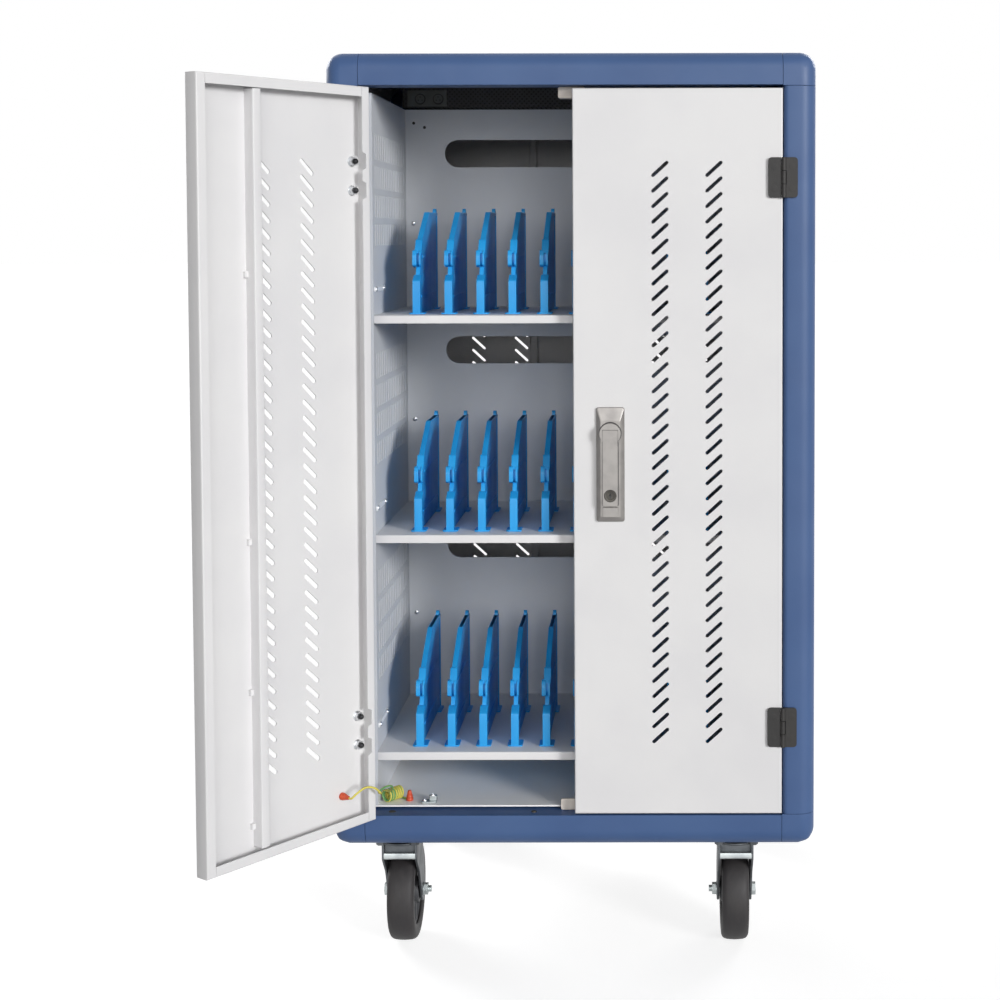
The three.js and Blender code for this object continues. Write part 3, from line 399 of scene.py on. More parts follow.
def arc(a, b, radius, start, end, steps=8):
    """Points on a circle, with angles in degrees."""
    turns = [math.radians(start + (end - start) * i / steps) for i in range(steps + 1)]
    return [(a + radius * math.cos(t), b + radius * math.sin(t)) for t in turns]


def rectangle(a0, a1, b0, b1):
    return [(a0, b0), (a1, b0), (a1, b1), (a0, b1)]


def round_rectangle(a0, a1, b0, b1, radius, steps=5):
    middles = rectangle(a0 + radius, a1 - radius, b0 + radius, b1 - radius)
    turns = (180, -90, 0, 90)
    corners = [arc(*middle, radius, turn, turn + 90, steps) for middle, turn in zip(middles, turns)]
    return sum(corners[1:] + corners[:1], [])


def rounded(outline, radius, steps=3):
    """The outline with each corner replaced by a small curve."""
    points = []
    for i, corner in enumerate(outline):
        here = Vector(corner)
        before = Vector(outline[i - 1]) - here
        after = Vector(outline[(i + 1) % len(outline)]) - here
        reach = min(radius, before.length * 0.45, after.length * 0.45)
        start = here + before.normalized() * reach
        end = here + after.normalized() * reach
        for k in range(steps + 1):
            t = k / steps
            points.append(tuple(start * (1 - t) ** 2 + here * 2 * t * (1 - t) + end * t * t))
    return points


def pierced_sheet(axis, border, holes, start, end):
    """A bmesh of a flat sheet with holes, filled by a two-dimensional curve."""
    curve = bpy.data.curves.new("pierced", "CURVE")
    curve.dimensions = "2D"
    curve.fill_mode = "BOTH"
    curve.extrude = abs(end - start) / 2
    for outline in [border] + holes:
        spline = curve.splines.new("POLY")
        spline.points.add(len(outline) - 1)
        spline.use_cyclic_u = True
        for point, (a, b) in zip(spline.points, outline):
            point.co = (a, b, 0, 1)
    holder = add("pierced", curve)
    bpy.context.view_layer.update()
    filled = bpy.data.meshes.new_from_object(holder.evaluated_get(bpy.context.evaluated_depsgraph_get()))
    bpy.data.objects.remove(holder)
    bpy.data.curves.remove(curve)
    shape = bmesh.new()
    shape.from_mesh(filled)
    bpy.data.meshes.remove(filled)
    for vertex in shape.verts:
        a, b, depth = vertex.co
        vertex.co = on_axis(axis, a, b, (start + end) / 2 + depth)
    bmesh.ops.remove_doubles(shape, verts=shape.verts, dist=0.001)
    return shape


SWUNG_OPEN = (Matrix.Translation((-HINGE_X, HINGE_Y, 0)) @ Matrix.Rotation(-LEFT_DOOR_OPEN, 4, "Z")
              @ Matrix.Translation((HINGE_X, -HINGE_Y, 0)))


def piece(name, shape, finish, stands_for=(), body="cabinet", bevel=0.0, place=None, sharp=35):
    """Makes an object of a bmesh in millimetres, gives it its finish and lets it ride on a body."""
    if place is not None:
        bmesh.ops.transform(shape, matrix=place, verts=shape.verts)
    bmesh.ops.scale(shape, vec=(MM, MM, MM), verts=shape.verts)
    bmesh.ops.recalc_face_normals(shape, faces=shape.faces)
    mesh = mesh_of(name, shape)
    mesh.shade_smooth()
    mesh.set_sharp_from_angle(angle=math.radians(sharp))
    mesh.materials.append(finish)
    thing = add(name, mesh)
    if bevel:
        edge = thing.modifiers.new("soft_edges", "BEVEL")
        edge.width = bevel * MM
        edge.segments = 2
        edge.limit_method = "ANGLE"
        edge.angle_limit = math.radians(sharp)
        edge.harden_normals = True
    if stands_for:
        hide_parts(*stands_for)
    if body:
        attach(thing, body)
    return thing


# Earth lead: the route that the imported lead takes, then its curls on the floor
LEAD_RADIUS = 1.3
CURL_RADIUS = 7.0
CURL_TURNS = 7.5
CURL_STEPS = 18
SPLINE_STEPS = 24
LIMP_STEPS = 60
CURL_FROM = Vector((-238, -245, 210.6))
CURL_TO = Vector((-222, -226, 210.6))
LEAD_TAIL = 12.0
GREEN_TWIST = 0.06
BOOT_ALONG = 41.0
BOOT_Z = 235.0
BOOT_SEAT = 1.8
BOOT_LENGTH = 13.0
BOOT_RADIUS = 4.5
CURL_AXIS = (CURL_TO - CURL_FROM).normalized()
CURL_SIDE = Vector((-CURL_AXIS.y, CURL_AXIS.x, 0))


def on_left_door(along, inwards, z):
    """A point on the open left door: along it from the hinge axis, in from its outer face, up from z 0."""
    return SWUNG_OPEN @ Vector((along - HINGE_X, FRONT + inwards, z))


def curl_route():
    """Turns that lie on the floor, with a short straight tail into the floor boot."""
    steps = round(CURL_TURNS * CURL_STEPS)
    points = []
    for i in range(steps + 1):
        angle = TAU / 4 - TAU * CURL_TURNS * i / steps
        middle = CURL_FROM.lerp(CURL_TO, i / steps)
        points.append(middle + CURL_SIDE * CURL_RADIUS * math.cos(angle)
                      + Vector((0, 0, CURL_RADIUS * math.sin(angle))))
    tail = [points[-1] - CURL_SIDE * LEAD_TAIL * k / 4 for k in range(1, 5)]
    return [points[0] - CURL_SIDE * 2 * LEAD_RADIUS] + points + tail


def smooth_route(points, steps):
    """A centripetal spline through the points, with evenly spaced steps."""
    ends = [2 * points[0] - points[1]] + points + [2 * points[-1] - points[-2]]
    dense = []
    for p0, p1, p2, p3 in zip(ends, ends[1:], ends[2:], ends[3:]):
        t1 = (p1 - p0).length ** 0.5
        t2 = t1 + (p2 - p1).length ** 0.5
        t3 = t2 + (p3 - p2).length ** 0.5
        for k in range(SPLINE_STEPS):
            t = t1 + (t2 - t1) * k / SPLINE_STEPS
            a1 = p0.lerp(p1, t / t1)
            a2 = p1.lerp(p2, (t - t1) / (t2 - t1))
            a3 = p2.lerp(p3, (t - t2) / (t3 - t2))
            b1 = a1.lerp(a2, t / t2)
            b2 = a2.lerp(a3, (t - t1) / (t3 - t1))
            dense.append(b1.lerp(b2, (t - t1) / (t2 - t1)))
    dense.append(points[-1])
    reach = [0.0]
    for near, far in zip(dense, dense[1:]):
        reach.append(reach[-1] + (far - near).length)
    evened = []
    at = 0
    for k in range(steps + 1):
        goal = reach[-1] * k / steps
        while at < len(reach) - 2 and reach[at + 1] < goal:
            at += 1
        evened.append(dense[at].lerp(dense[at + 1], (goal - reach[at]) / (reach[at + 1] - reach[at])))
    return evened


def lead_route():
    """From the boot on the open door in past the hinge, then through the curls to the boot on the floor."""
    curl = curl_route()
    tip = BOOT_SEAT + BOOT_LENGTH
    by_door = ((BOOT_ALONG, tip + FIT, 0), (BOOT_ALONG, tip + 4, 0), (37, 24, 6), (27, 29, 12), (15, 32, 9),
               (6, 33, 1))
    inside = ((-239, -292, -4), (-234, -277, -3), (-228, -263, -6), (-228.5, -254, -13))
    loop = [on_left_door(along, inwards, BOOT_Z + rise) for along, inwards, rise in by_door]
    loop += [Vector((x, y, BOOT_Z + rise)) for x, y, rise in inside]
    return smooth_route(loop + [curl[0] - CURL_SIDE * 3, curl[0]], LIMP_STEPS) + curl[1:]


def sleeve(shape, route, radius, sides=12, green=4):
    """A tube along the route. Some of its sides are green, and wind slowly round the yellow."""
    upright = Vector((0, 0, 1))
    rows = []
    side = None
    for i, point in enumerate(route):
        way = (route[min(i + 1, len(route) - 1)] - route[max(i - 1, 0)]).normalized()
        side = upright.cross(way) if side is None else side - way * side.dot(way)
        side.normalize()
        up = way.cross(side)
        turn = i * GREEN_TWIST
        rows.append([shape.verts.new(point + radius * (side * math.cos(turn + TAU * k / sides)
                                                       + up * math.sin(turn + TAU * k / sides)))
                     for k in range(sides)])
    for near, far in zip(rows, rows[1:]):
        for k in range(sides):
            face = shape.faces.new((near[k - 1], near[k], far[k], far[k - 1]))
            face.material_index = 1 if k < green else 0
    shape.faces.new(rows[0])
    shape.faces.new(rows[-1][::-1])


def make_earth_lead():
    route = lead_route()
    shape = bmesh.new()
    sleeve(shape, route, LEAD_RADIUS)
    nodes = ["earth_lead", "earth_lead_curls"]
    lead = piece("earth_lead_sleeve", shape, LEAD_YELLOW, nodes, None, sharp=60)
    lead.data.materials.append(LEAD_GREEN)
    path = [tuple(point * MM) for point in route]
    length = sum((far - near).length for near, far in zip(route, route[1:])) * MM
    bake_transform(lead)


BOOT_PROFILE = [(0, 0), (BOOT_RADIUS - 0.4, 0), (BOOT_RADIUS, 0.5), (BOOT_RADIUS, 3.4), (4.1, 4), (3.7, 4.4),
                (4, 5), (3.5, 7.4), (3, 7.9), (3.2, 8.5), (2.6, 11), (2.2, 12.6), (1.9, BOOT_LENGTH),
                (0, BOOT_LENGTH)]


def make_boots():
    boot = lathe(bmesh.new(), "y", BOOT_ALONG - HINGE_X, BOOT_Z, BOOT_PROFILE, seat=FRONT + BOOT_SEAT)
    piece("door_boot", boot, BOOT_RED, ["door_earth_boot"], "left_door", place=SWUNG_OPEN)
    foot = curl_route()[-1] - CURL_SIDE * (BOOT_RADIUS + FIT)
    boot = lathe(bmesh.new(), "z", foot.x, foot.y, BOOT_PROFILE, seat=FLOOR + FIT)
    piece("floor_boot", boot, BOOT_RED, ["floor_earth_boot"])


make_earth_lead()
make_boots()


# Frame: drawn profiles with one rounded edge, and corner blocks with a ball-rounded outer corner
MIDDLE_Z = (TOP + BOTTOM) / 2
HALF_HEIGHT = (TOP - BOTTOM) / 2
INNER_ROUND = 6.0


def corner_block(shape, hand, front, above):
    """One corner block: hand is 1 on the right, front is 1 at the front, above is 1 at the top."""
    inner = [hand * (SIDE - BLOCK), -front * (REAR - PROFILE), MIDDLE_Z + above * (HALF_HEIGHT - BLOCK)]
    outer = [hand * SIDE, -front * REAR, MIDDLE_Z + above * HALF_HEIGHT]
    spans = [sorted(pair) for pair in zip(inner, outer)]
    solid = block(bmesh.new(), *spans[0], *spans[1], *spans[2])
    tip = min(solid.verts, key=lambda vertex: (vertex.co - Vector(outer)).length)
    bmesh.ops.bevel(solid, geom=list(tip.link_edges), offset=ROUND, segments=10, profile=0.5, affect="EDGES")
    join(shape, solid)
    return shape


def post_outline(hand, front):
    """The post's section from above, with its outer edge rounded."""
    x, y, r = SIDE - PROFILE, REAR - PROFILE, INNER_ROUND
    points = ([(x, y), (SIDE, y)] + arc(SIDE - ROUND, REAR - ROUND, ROUND, 0, 90, 12)
              + arc(x + r, REAR - r, r, 90, 180, 6))
    return [(hand * x, -front * y) for x, y in points]


def rail_outline(front, above):
    """The rail's section from the end, with its outer edge rounded."""
    y, z = REAR - PROFILE, HALF_HEIGHT - PROFILE
    curve = arc(REAR - ROUND, HALF_HEIGHT - ROUND, ROUND, 0, 90, 12)
    points = [(y, z), (REAR, z)] + curve + [(y, HALF_HEIGHT)]
    return [(-front * y, MIDDLE_Z + above * z) for y, z in points]


def make_frame():
    def bar(name, shape, node, bevel=0.35):
        piece(name, shape, SLATE_BLUE, [node], bevel=bevel)

    low, high = BOTTOM + BLOCK + SEAM, TOP - BLOCK - SEAM
    reach = SIDE - BLOCK - SEAM
    for side, hand in SIDES.items():
        post = prism(bmesh.new(), "z", post_outline(hand, 1), low, high)
        bar(f"front_{side}_upright", post, f"front_{side}_post")
        rear = prism(bmesh.new(), "z", post_outline(hand, -1), low, high)
        for above in LEVELS.values():
            corner_block(rear, hand, -1, above)
        bar(f"rear_{side}_upright", rear, f"rear_{side}_post")
        for level, above in LEVELS.items():
            cap = corner_block(bmesh.new(), hand, 1, above)
            bar(f"front_{level}_{side}_cap", cap, f"front_{level}_{side}_corner", 0.3)
    for end, front in ENDS.items():
        for level, above in LEVELS.items():
            rail = prism(bmesh.new(), "x", rail_outline(front, above), -reach, reach)
            bar(f"{end}_{level}_bar", rail, f"{end}_{level}_rail")


# Skin: top cap and base with rounded shoulders, and plain side panels
SHOULDER_LOW = BLOCK - 0.7
PANEL_GAP = 0.4


def shoulder_outline(level, way):
    """A shell seen from the front: flat at its level, with shoulders turned towards way, up or down."""
    right = (arc(SIDE - SHOULDER, -SHOULDER, SHOULDER, 90, 0, 12)
             + [(SIDE, -SHOULDER_LOW), (SIDE - SKIN, -SHOULDER_LOW)]
             + arc(SIDE - SHOULDER, -SHOULDER, SHOULDER - SKIN, 0, 90, 12))
    return [(x, level + way * z) for x, z in right + [(-x, z) for x, z in right[::-1]]]


def make_skin():
    def sheet(name, shape, finish, nodes):
        piece(name, shape, finish, nodes, bevel=0.3)

    cap = prism(bmesh.new(), "y", shoulder_outline(TOP, 1), -RING_END, RING_END)
    sheet("top_cap", cap, DOOR_WHITE, ["top_panel"])
    base = prism(bmesh.new(), "y", shoulder_outline(BOTTOM, -1), -RING_END, RING_END)
    for hand in SIDES.values():
        block(base, *span(hand, SIDE, SIDE - SKIN), -RING_END, RING_END, BOTTOM + BLOCK - 1, FLOOR - 0.01)
    sheet("base_shell", base, DOOR_WHITE, ["base_box"])
    tongue = [(SIDE - SKIN - 0.1, RING_END), (HINGE_X, RING_END), (HINGE_X, -SHELF_FRONT)]
    right = [(x, -y) for x, y in tongue[::-1]] + tongue
    floor = prism(bmesh.new(), "z", right + [(-x, -y) for x, y in right], FLOOR - SKIN, FLOOR)
    # The floor plate takes the lighter white, which is painted light.
    sheet("floor_plate", floor, FLOOR_WHITE_PAINTED_LIGHT, ())
    outline = round_rectangle(-RING_END, RING_END, FLOOR + PANEL_GAP, TOP - BLOCK - PANEL_GAP, 0.8, 2)
    for side, hand in SIDES.items():
        panel = prism(bmesh.new(), "x", outline, hand * SIDE, hand * (SIDE - SKIN))
        sheet(f"{side}_side_sheet", panel, DOOR_WHITE, [f"{side}_side_panel"])


# Inside: walls pierced with bands of upright slits, a partition with oval slots, and the shelves
SLIT_START = -236.0
SLIT_COLUMNS = 17
SLIT_PITCH = 15.0
SLIT_WIDTH = 5.5
SLIT_BANDS = ((1043.0, 1011.0), (1003.0, 975.0), (967.0, 939.0), (931.0, 904.0))
OVAL_WIDTH = 382.0
OVAL_HEIGHT = 38.0
OVAL_MIDDLES = (482.5, 756.5, 1030.5)
INSIDE_LOW = FLOOR + FIT
INSIDE_WIDE = WALL - FIT
SHELF_BEND = 2.0
SHELF_LIP = 10.0


def make_walls():
    end = -SHELF_FRONT
    lefts = [SLIT_START + i * SLIT_PITCH for i in range(SLIT_COLUMNS)]
    slits = [rectangle(y, y + SLIT_WIDTH, low - shelf * BAY, high - shelf * BAY)
             for shelf in range(len(SHELF_TOPS)) for high, low in SLIT_BANDS for y in lefts]
    border = rectangle(-end, end, INSIDE_LOW, WALL_TOP)
    for side, hand in SIDES.items():
        wall = pierced_sheet("x", border, slits, hand * WALL, hand * (WALL + SHEET))
        for y in (-end, end - SHEET):
            block(wall, *span(hand, WALL + SHEET, HINGE_X), y, y + SHEET, INSIDE_LOW, WALL_TOP)
        piece(f"{side}_slit_wall", wall, INNER_WHITE, [f"{side}_inner_wall"])


def make_partition():
    border = rectangle(-INSIDE_WIDE, INSIDE_WIDE, INSIDE_LOW, WALL_TOP)
    long, high = OVAL_WIDTH / 2, OVAL_HEIGHT / 2
    ovals = [round_rectangle(-long, long, z - high, z + high, high - 0.01, 12) for z in OVAL_MIDDLES]
    sheet = pierced_sheet("y", border, ovals, PARTITION, PARTITION + SHEET)
    piece("oval_partition", sheet, INNER_WHITE, ["back_partition"])


def make_shelves():
    front, back = SHELF_FRONT + SHELF_BEND, SHELF_BACK - SHELF_BEND
    for level, top in SHELF_TOPS.items():
        z, low = top - SHELF_BEND, top - SHELF_LIP
        outer = ([(SHELF_FRONT, low)] + arc(front, z, SHELF_BEND, 180, 90, 5)
                 + arc(back, z, SHELF_BEND, 90, 0, 5) + [(SHELF_BACK, low)])
        inner = ([(SHELF_BACK - SHEET, low)] + arc(back, z, SHELF_BEND - SHEET, 0, 90, 3)
                 + arc(front, z, SHELF_BEND - SHEET, 90, 180, 3) + [(SHELF_FRONT + SHEET, low)])
        tray = prism(bmesh.new(), "x", outer + inner, -INSIDE_WIDE, INSIDE_WIDE)
        piece(f"{level}_tray", tray, DOOR_WHITE, [f"{level}_shelf"], sharp=50)


# Dividers: moulded plates with a stepped front rim, cable clip, sloping rim and rear loop
DIVIDER_FRONT = -233.0
DIVIDER_DEPTH = 190.0
DIVIDER_HEIGHT = 129.0
DIVIDER_TOP = 104.5
DIVIDER_PITCH = 40.0
DIVIDER_CENTRE = 4.0
DIVIDERS = 11
COMB_HALF = 210.0
COMB_FRONT = -213.0
COMB_BACK = -63.0
COMB_THICK = 3.0


def divider(shape, x, base):
    """One plate on its shelf. Each outline is (distance from the front, height), thick from start to end."""
    def slab(softness, start, end, *outline):
        points = [(DIVIDER_FRONT + along, base + rise) for along, rise in outline]
        prism(shape, "x", rounded(points, softness) if softness else points, x + start, x + end)

    deep, high, crest = DIVIDER_DEPTH, DIVIDER_HEIGHT, DIVIDER_TOP
    slab(4, -1.8, 1.8, (3, 0.5), (deep, 0.5), (deep, high), (crest, high), (34, 88), (22, 82), (20, 64),
         (27, 58), (22, 48), (3, 42))
    slab(2, -4.8, 4.8, (0, 0), (9, 0), (9, 38), (20, 49), (14, 49), (0, 42))
    slab(1.5, -2.7, 2.7, (14, 46), (24, 46), (30, 58), (22, 60))
    for start, end in ((-6.8, -1.5), (1.5, 3.8)):
        slab(2, start, end, (14, 61), (24, 58), (29, 68), (27, 80), (18, 80), (14, 73))
    slab(2, -4.4, 4.4, (17, 76), (28, 74), (40, 91), (31, 94))
    slab(1.5, -3.3, 3.3, (31, 91), (38, 88), (crest + 5, high - 4), (crest, high))
    slab(1, -3.0, 3.0, (crest, high - 4), (deep, high - 4), (deep, high), (crest, high))
    for rise, front in ((20, 30), (70, 42)):
        slab(1, -2.9, 2.9, *rectangle(front, deep - 20, rise, rise + 3))
    back = DIVIDER_FRONT + deep
    block(shape, x - 3.0, x + 3.0, back - 4, back, base + 0.4, base + high)
    for reach, y0, y1 in ((9.5, DIVIDER_FRONT, DIVIDER_FRONT + 26), (7, back - 30, back)):
        prism(shape, "z", round_rectangle(x - reach, x + reach, y0, y1, 3), base, base + 1.8)
    loop = (deep - 5.5, high + 0.4)
    slab(0, -2.2, 2.2, *arc(*loop, 5.4, -20, 200, 12), *arc(*loop, 2.8, 200, -20, 12))


def make_dividers():
    for level, top in SHELF_TOPS.items():
        comb = bmesh.new()
        for i in range(DIVIDERS):
            divider(comb, DIVIDER_CENTRE + (i - DIVIDERS // 2) * DIVIDER_PITCH, top + FIT)
        left, right = DIVIDER_CENTRE - COMB_HALF, DIVIDER_CENTRE + COMB_HALF
        strip = round_rectangle(left, right, COMB_FRONT, COMB_BACK, 4)
        under = top - SHEET - FIT
        prism(comb, "z", strip, under - COMB_THICK, under)
        piece(f"{level}_divider_comb", comb, SKY_BLUE, [f"{level}_dividers"], bevel=0.6)


# Power unit behind the partition, with two round sockets looking over its upper edge
UNIT_HALF = 250.0
UNIT_DEPTH = 200.0
UNIT_FRONT = 28.8
UNIT_LOW = 1094.7
UNIT_HIGH = 1136.7
UNIT_VENTS = 5
VENT_START = -172.0
VENT_PITCH = 84.0
VENT_WIDTH = 76.0
SOCKETS = ((-225.0, 1106.6), (-200.0, 1106.6))
SOCKET_PROFILE = ((0, 1.4), (5.6, 1.4), (6.2, 0.3), (7.4, 0.1), (7.8, 0.8), (7.8, 3.6), (0, 3.6))
SOCKET_PINS = ((-2.6, -1.5), (2.6, -1.5), (0, 2.8))


def make_power_unit():
    housing = block(bmesh.new(), -UNIT_HALF, UNIT_HALF, UNIT_FRONT + 1.2, UNIT_FRONT + UNIT_DEPTH,
                    UNIT_LOW, UNIT_HIGH)
    for i in range(UNIT_VENTS):
        x = VENT_START + i * VENT_PITCH
        block(housing, x, x + VENT_WIDTH, UNIT_FRONT + 0.4, UNIT_FRONT + 3, UNIT_LOW + 4, UNIT_LOW + 5.2)
    piece("power_housing", housing, BLACK_HOUSING_AND_HOLE_SHADE, ["power_unit"], bevel=0.8)
    panel = block(bmesh.new(), -243, -188, UNIT_FRONT + 0.5, UNIT_FRONT + 3, UNIT_LOW + 1.5, UNIT_LOW + 24)
    piece("socket_panel", panel, SOCKET_GREY, bevel=0.6)
    rings = bmesh.new()
    for x, z in SOCKETS:
        lathe(rings, "y", x, z, SOCKET_PROFILE, 28, UNIT_FRONT)
        for dx, dz in SOCKET_PINS:
            drum(rings, "y", x + dx, z + dz, 1, UNIT_FRONT + 0.4, UNIT_FRONT + 1.5, 12, 0.2)
    piece("power_sockets", rings, SOCKET_BLACK)


make_frame()
make_skin()
make_walls()
make_partition()
make_shelves()
make_dividers()
make_power_unit()


# Doors: folded pans with two columns of leaning vent slots, an upright stiffener and returned lips
SLOT_COLUMNS = (84.0, 150.0)
SLOT_ROWS = 38
SLOT_PITCH = 18.9
SLOT_LENGTH = 27.0
SLOT_WIDTH = 4.4
OPEN_SLOT_WIDTH = 5.4
REAR_SLOT_WIDTH = 3.5
SLOT_LEAN = math.radians(42.5)
DOOR_MIDDLE = (DOOR_LOW + DOOR_HIGH) / 2
RIB_OFFSET = 170.0
RIB_HEIGHT = 17.0
RIB_HALF = 6.0
RIB_TABS = (872.0, 566.0, 392.0, 236.0)
BEND = 2.0
NUT_INSET = 13.5
NUT_HEIGHTS = (1005.5, 970.5, 328.0, 292.5)
SCREW_END = ((0, 0), (3.3, 0), (3.3, 1.4), (3.1, 3), (2.4, 4.2), (1.3, 4.8), (0, 5))
NOTCH_DEPTH = 6.0
PIVOT_X = 246.5
DOOR_PLACES = {"left": SWUNG_OPEN, "right": None}


def vent_slot(x, z, width):
    """One round-ended slot that leans like a forward slash."""
    half = (SLOT_LENGTH - width) / 2
    ends = arc(half, 0, width / 2, -90, 90, 5) + arc(-half, 0, width / 2, 90, 270, 5)
    c, s = math.cos(SLOT_LEAN), math.sin(SLOT_LEAN)
    return [(x + a * c - b * s, z + a * s + b * c) for a, b in ends]


def folded_rim(shape, x0, x1, profile):
    """A closed profile of (inset, depth) carried round the door's four edges with mitred corners."""
    rows = []
    for inset, y in profile:
        corners = rectangle(x0 + inset, x1 - inset, DOOR_LOW + inset, DOOR_HIGH - inset)
        rows.append([shape.verts.new((x, y, z)) for x, z in corners])
    for i in range(len(rows)):
        skin_between(shape, rows[i - 1], rows[i])


def door_pan(hand, edge, notched, slot_width):
    """The pan of a closed front door: hand is 1 for the right one, edge is where its hinge side ends."""
    hinge, free = hand * edge, hand * DOOR_FREE
    x0, x1 = sorted((free, hinge))
    low, high, back = DOOR_LOW + BEND, DOOR_HIGH - BEND, DOOR_BACK
    rows = [DOOR_MIDDLE + (row - (SLOT_ROWS - 1) / 2) * SLOT_PITCH for row in range(SLOT_ROWS)]
    slots = [vent_slot(hinge - hand * offset, z, slot_width) for offset in SLOT_COLUMNS for z in rows]
    pan = pierced_sheet("y", rectangle(x0 + BEND, x1 - BEND, low, high), slots, FRONT, FRONT + SHEET)
    outer = arc(BEND, FRONT + BEND, BEND, 270, 180, 4) + arc(BEND, back - BEND, BEND, 180, 90, 4)
    inner = [(BEND, back - SHEET), (SHEET, back - BEND), (SHEET, FRONT + BEND), (BEND, FRONT + SHEET)]
    folded_rim(pan, x0, x1, outer + inner)
    near, far = hinge - hand * BEND, hinge - hand * DOOR_LIP
    cut = far + hand * NOTCH_DEPTH
    lip = [(near, low), (far, low)]
    for z in sorted(NUT_HEIGHTS) if notched else ():
        lip += [(far, z - 11), (cut, z - 8.5), (cut, z + 8.5), (far, z + 11)]
    prism(pan, "y", lip + [(far, high), (near, high)], back - SHEET, back)
    prism(pan, "y", rectangle(free + hand * BEND, free + hand * DOOR_LIP, low, high), back - SHEET, back)
    gap = DOOR_LIP + 0.5
    for z0, z1 in ((low, DOOR_LOW + DOOR_LIP), (DOOR_HIGH - DOOR_LIP, high)):
        block(pan, x0 + gap, x1 - gap, back - SHEET - 0.2, back - 0.2, z0, z1)
    middle = hinge - hand * RIB_OFFSET
    foot, crest, hollow = FRONT + SHEET, FRONT + RIB_HEIGHT - SHEET, RIB_HALF - SHEET
    left, right = middle - hollow, middle + hollow
    channel = ([(middle - RIB_HALF, foot)] + arc(left, crest, SHEET, 180, 90, 3)
               + arc(right, crest, SHEET, 90, 0, 3) + [(middle + RIB_HALF, foot)]
               + [(right, foot), (right, crest), (left, crest), (left, foot)])
    prism(pan, "z", channel, DOOR_LOW + 13, DOOR_HIGH - 13)
    for z in RIB_TABS:
        tab = sorted((middle - hand * RIB_HALF, middle - hand * (RIB_HALF + 4.5)))
        block(pan, *tab, foot, foot + 4, z - 3.5, z + 3.5)
    return pan


def door_fasteners(x):
    """Nuts on washers on the inside of a door, and the round ends of the screws that stand out of them."""
    nuts, ends = bmesh.new(), bmesh.new()
    seat = FRONT + SHEET
    for z in NUT_HEIGHTS:
        drum(nuts, "y", x, z, 6.2, seat, seat + 1.2, 24, 0.3)
        hexagon(nuts, "y", x, z, 5.4, seat + 1.2, seat + 6.2)
        lathe(ends, "y", x, z, SCREW_END, 24, seat + 6)
    return nuts, ends


def make_doors():
    for side, slot_width in (("left", OPEN_SLOT_WIDTH), ("right", SLOT_WIDTH)):
        pan = door_pan(SIDES[side], DOOR_EDGE, True, slot_width)
        name = f"{side}_door"
        piece(f"{name}_pan", pan, DOOR_WHITE, [name], name, place=DOOR_PLACES[side])
    turned = Matrix.Rotation(math.pi, 4, "Z")
    for side, hand in SIDES.items():
        pan = door_pan(-hand, REAR_EDGE, False, REAR_SLOT_WIDTH)
        for start, end in ((DOOR_HIGH - 1, DOOR_HIGH + 6), (DOOR_LOW + 1, DOOR_LOW - 4)):
            drum(pan, "z", -hand * PIVOT_X, FRONT + 9, 4, start, end, 24)
        name = f"rear_{side}_door"
        piece(f"{name}_pan", pan, DOOR_WHITE, [name], name, place=turned)
    for side, hand in SIDES.items():
        nuts, ends = door_fasteners(hand * (DOOR_EDGE - NUT_INSET))
        # The screw ends take the dark steel, a painted dark reflection on their domes. The nuts keep the
        # bright steel.
        for name, shape, finish in (("nuts", nuts, BRIGHT_STEEL), ("screw_ends", ends, PAINTED_SHADE_STEEL)):
            piece(f"{side}_door_{name}", shape, finish, (), f"{side}_door", place=DOOR_PLACES[side])


# Hinges: two cast leaves with three knuckles, and bolt heads sunk in the leaves
HINGE_HALF = 24.5
HINGE_PLACES = {"upper": 986.0, "lower": 308.0}
KNUCKLE = 2.9
LEAF_BACK = FRONT - FIT
LEAF_FACE = FRONT - 3.6
LEAF_ROUND = 4.0
BOLT_RISE = 13.5
BOLT_PROFILE = ((0, -0.12), (3.4, -0.12), (4.2, -0.05), (4.4, 0.6), (0, 0.6))


def hinge_leaf(hand, z, on_frame):
    """A leaf with round outer corners. Its inner edge steps back where the other leaf's knuckles turn."""
    way, reach, bolt, ease = (hand, 17, 10, -1) if on_frame else (-hand, 19, 12, 1)
    low, high = z - HINGE_HALF, z + HINGE_HALF
    step_low, step_high = low + HINGE_HALF * 2 / 3, high - HINGE_HALF * 2 / 3
    axis, r = hand * HINGE_X, LEAF_ROUND
    inner = axis + way * FIT
    clear = inner + way * (KNUCKLE + 0.1)
    ends, middle = (inner, clear) if on_frame else (clear, inner)
    outer = arc(-r, low + r, r, -90, 0, 5) + arc(-r, high - r, r, 0, 90, 5)
    notch_low, notch_high = step_low + ease * 0.1, step_high - ease * 0.1
    outline = [(axis + way * (reach + x), z) for x, z in outer]
    outline += [(ends, high), (ends, notch_high), (middle, notch_high)]
    outline += [(middle, notch_low), (ends, notch_low), (ends, low)]
    shape = prism(bmesh.new(), "y", outline, LEAF_FACE, LEAF_BACK)
    turn_low, turn_high = step_low + ease * 0.15, step_high - ease * 0.15
    for start, end in ((low, turn_low), (turn_high, high)) if on_frame else ((turn_low, turn_high),):
        drum(shape, "z", axis, HINGE_Y, KNUCKLE, start, end, 24, 0.3)
    for rise in (-BOLT_RISE, BOLT_RISE):
        lathe(shape, "y", axis + way * bolt, z + rise, BOLT_PROFILE, 24, LEAF_FACE)
    return shape


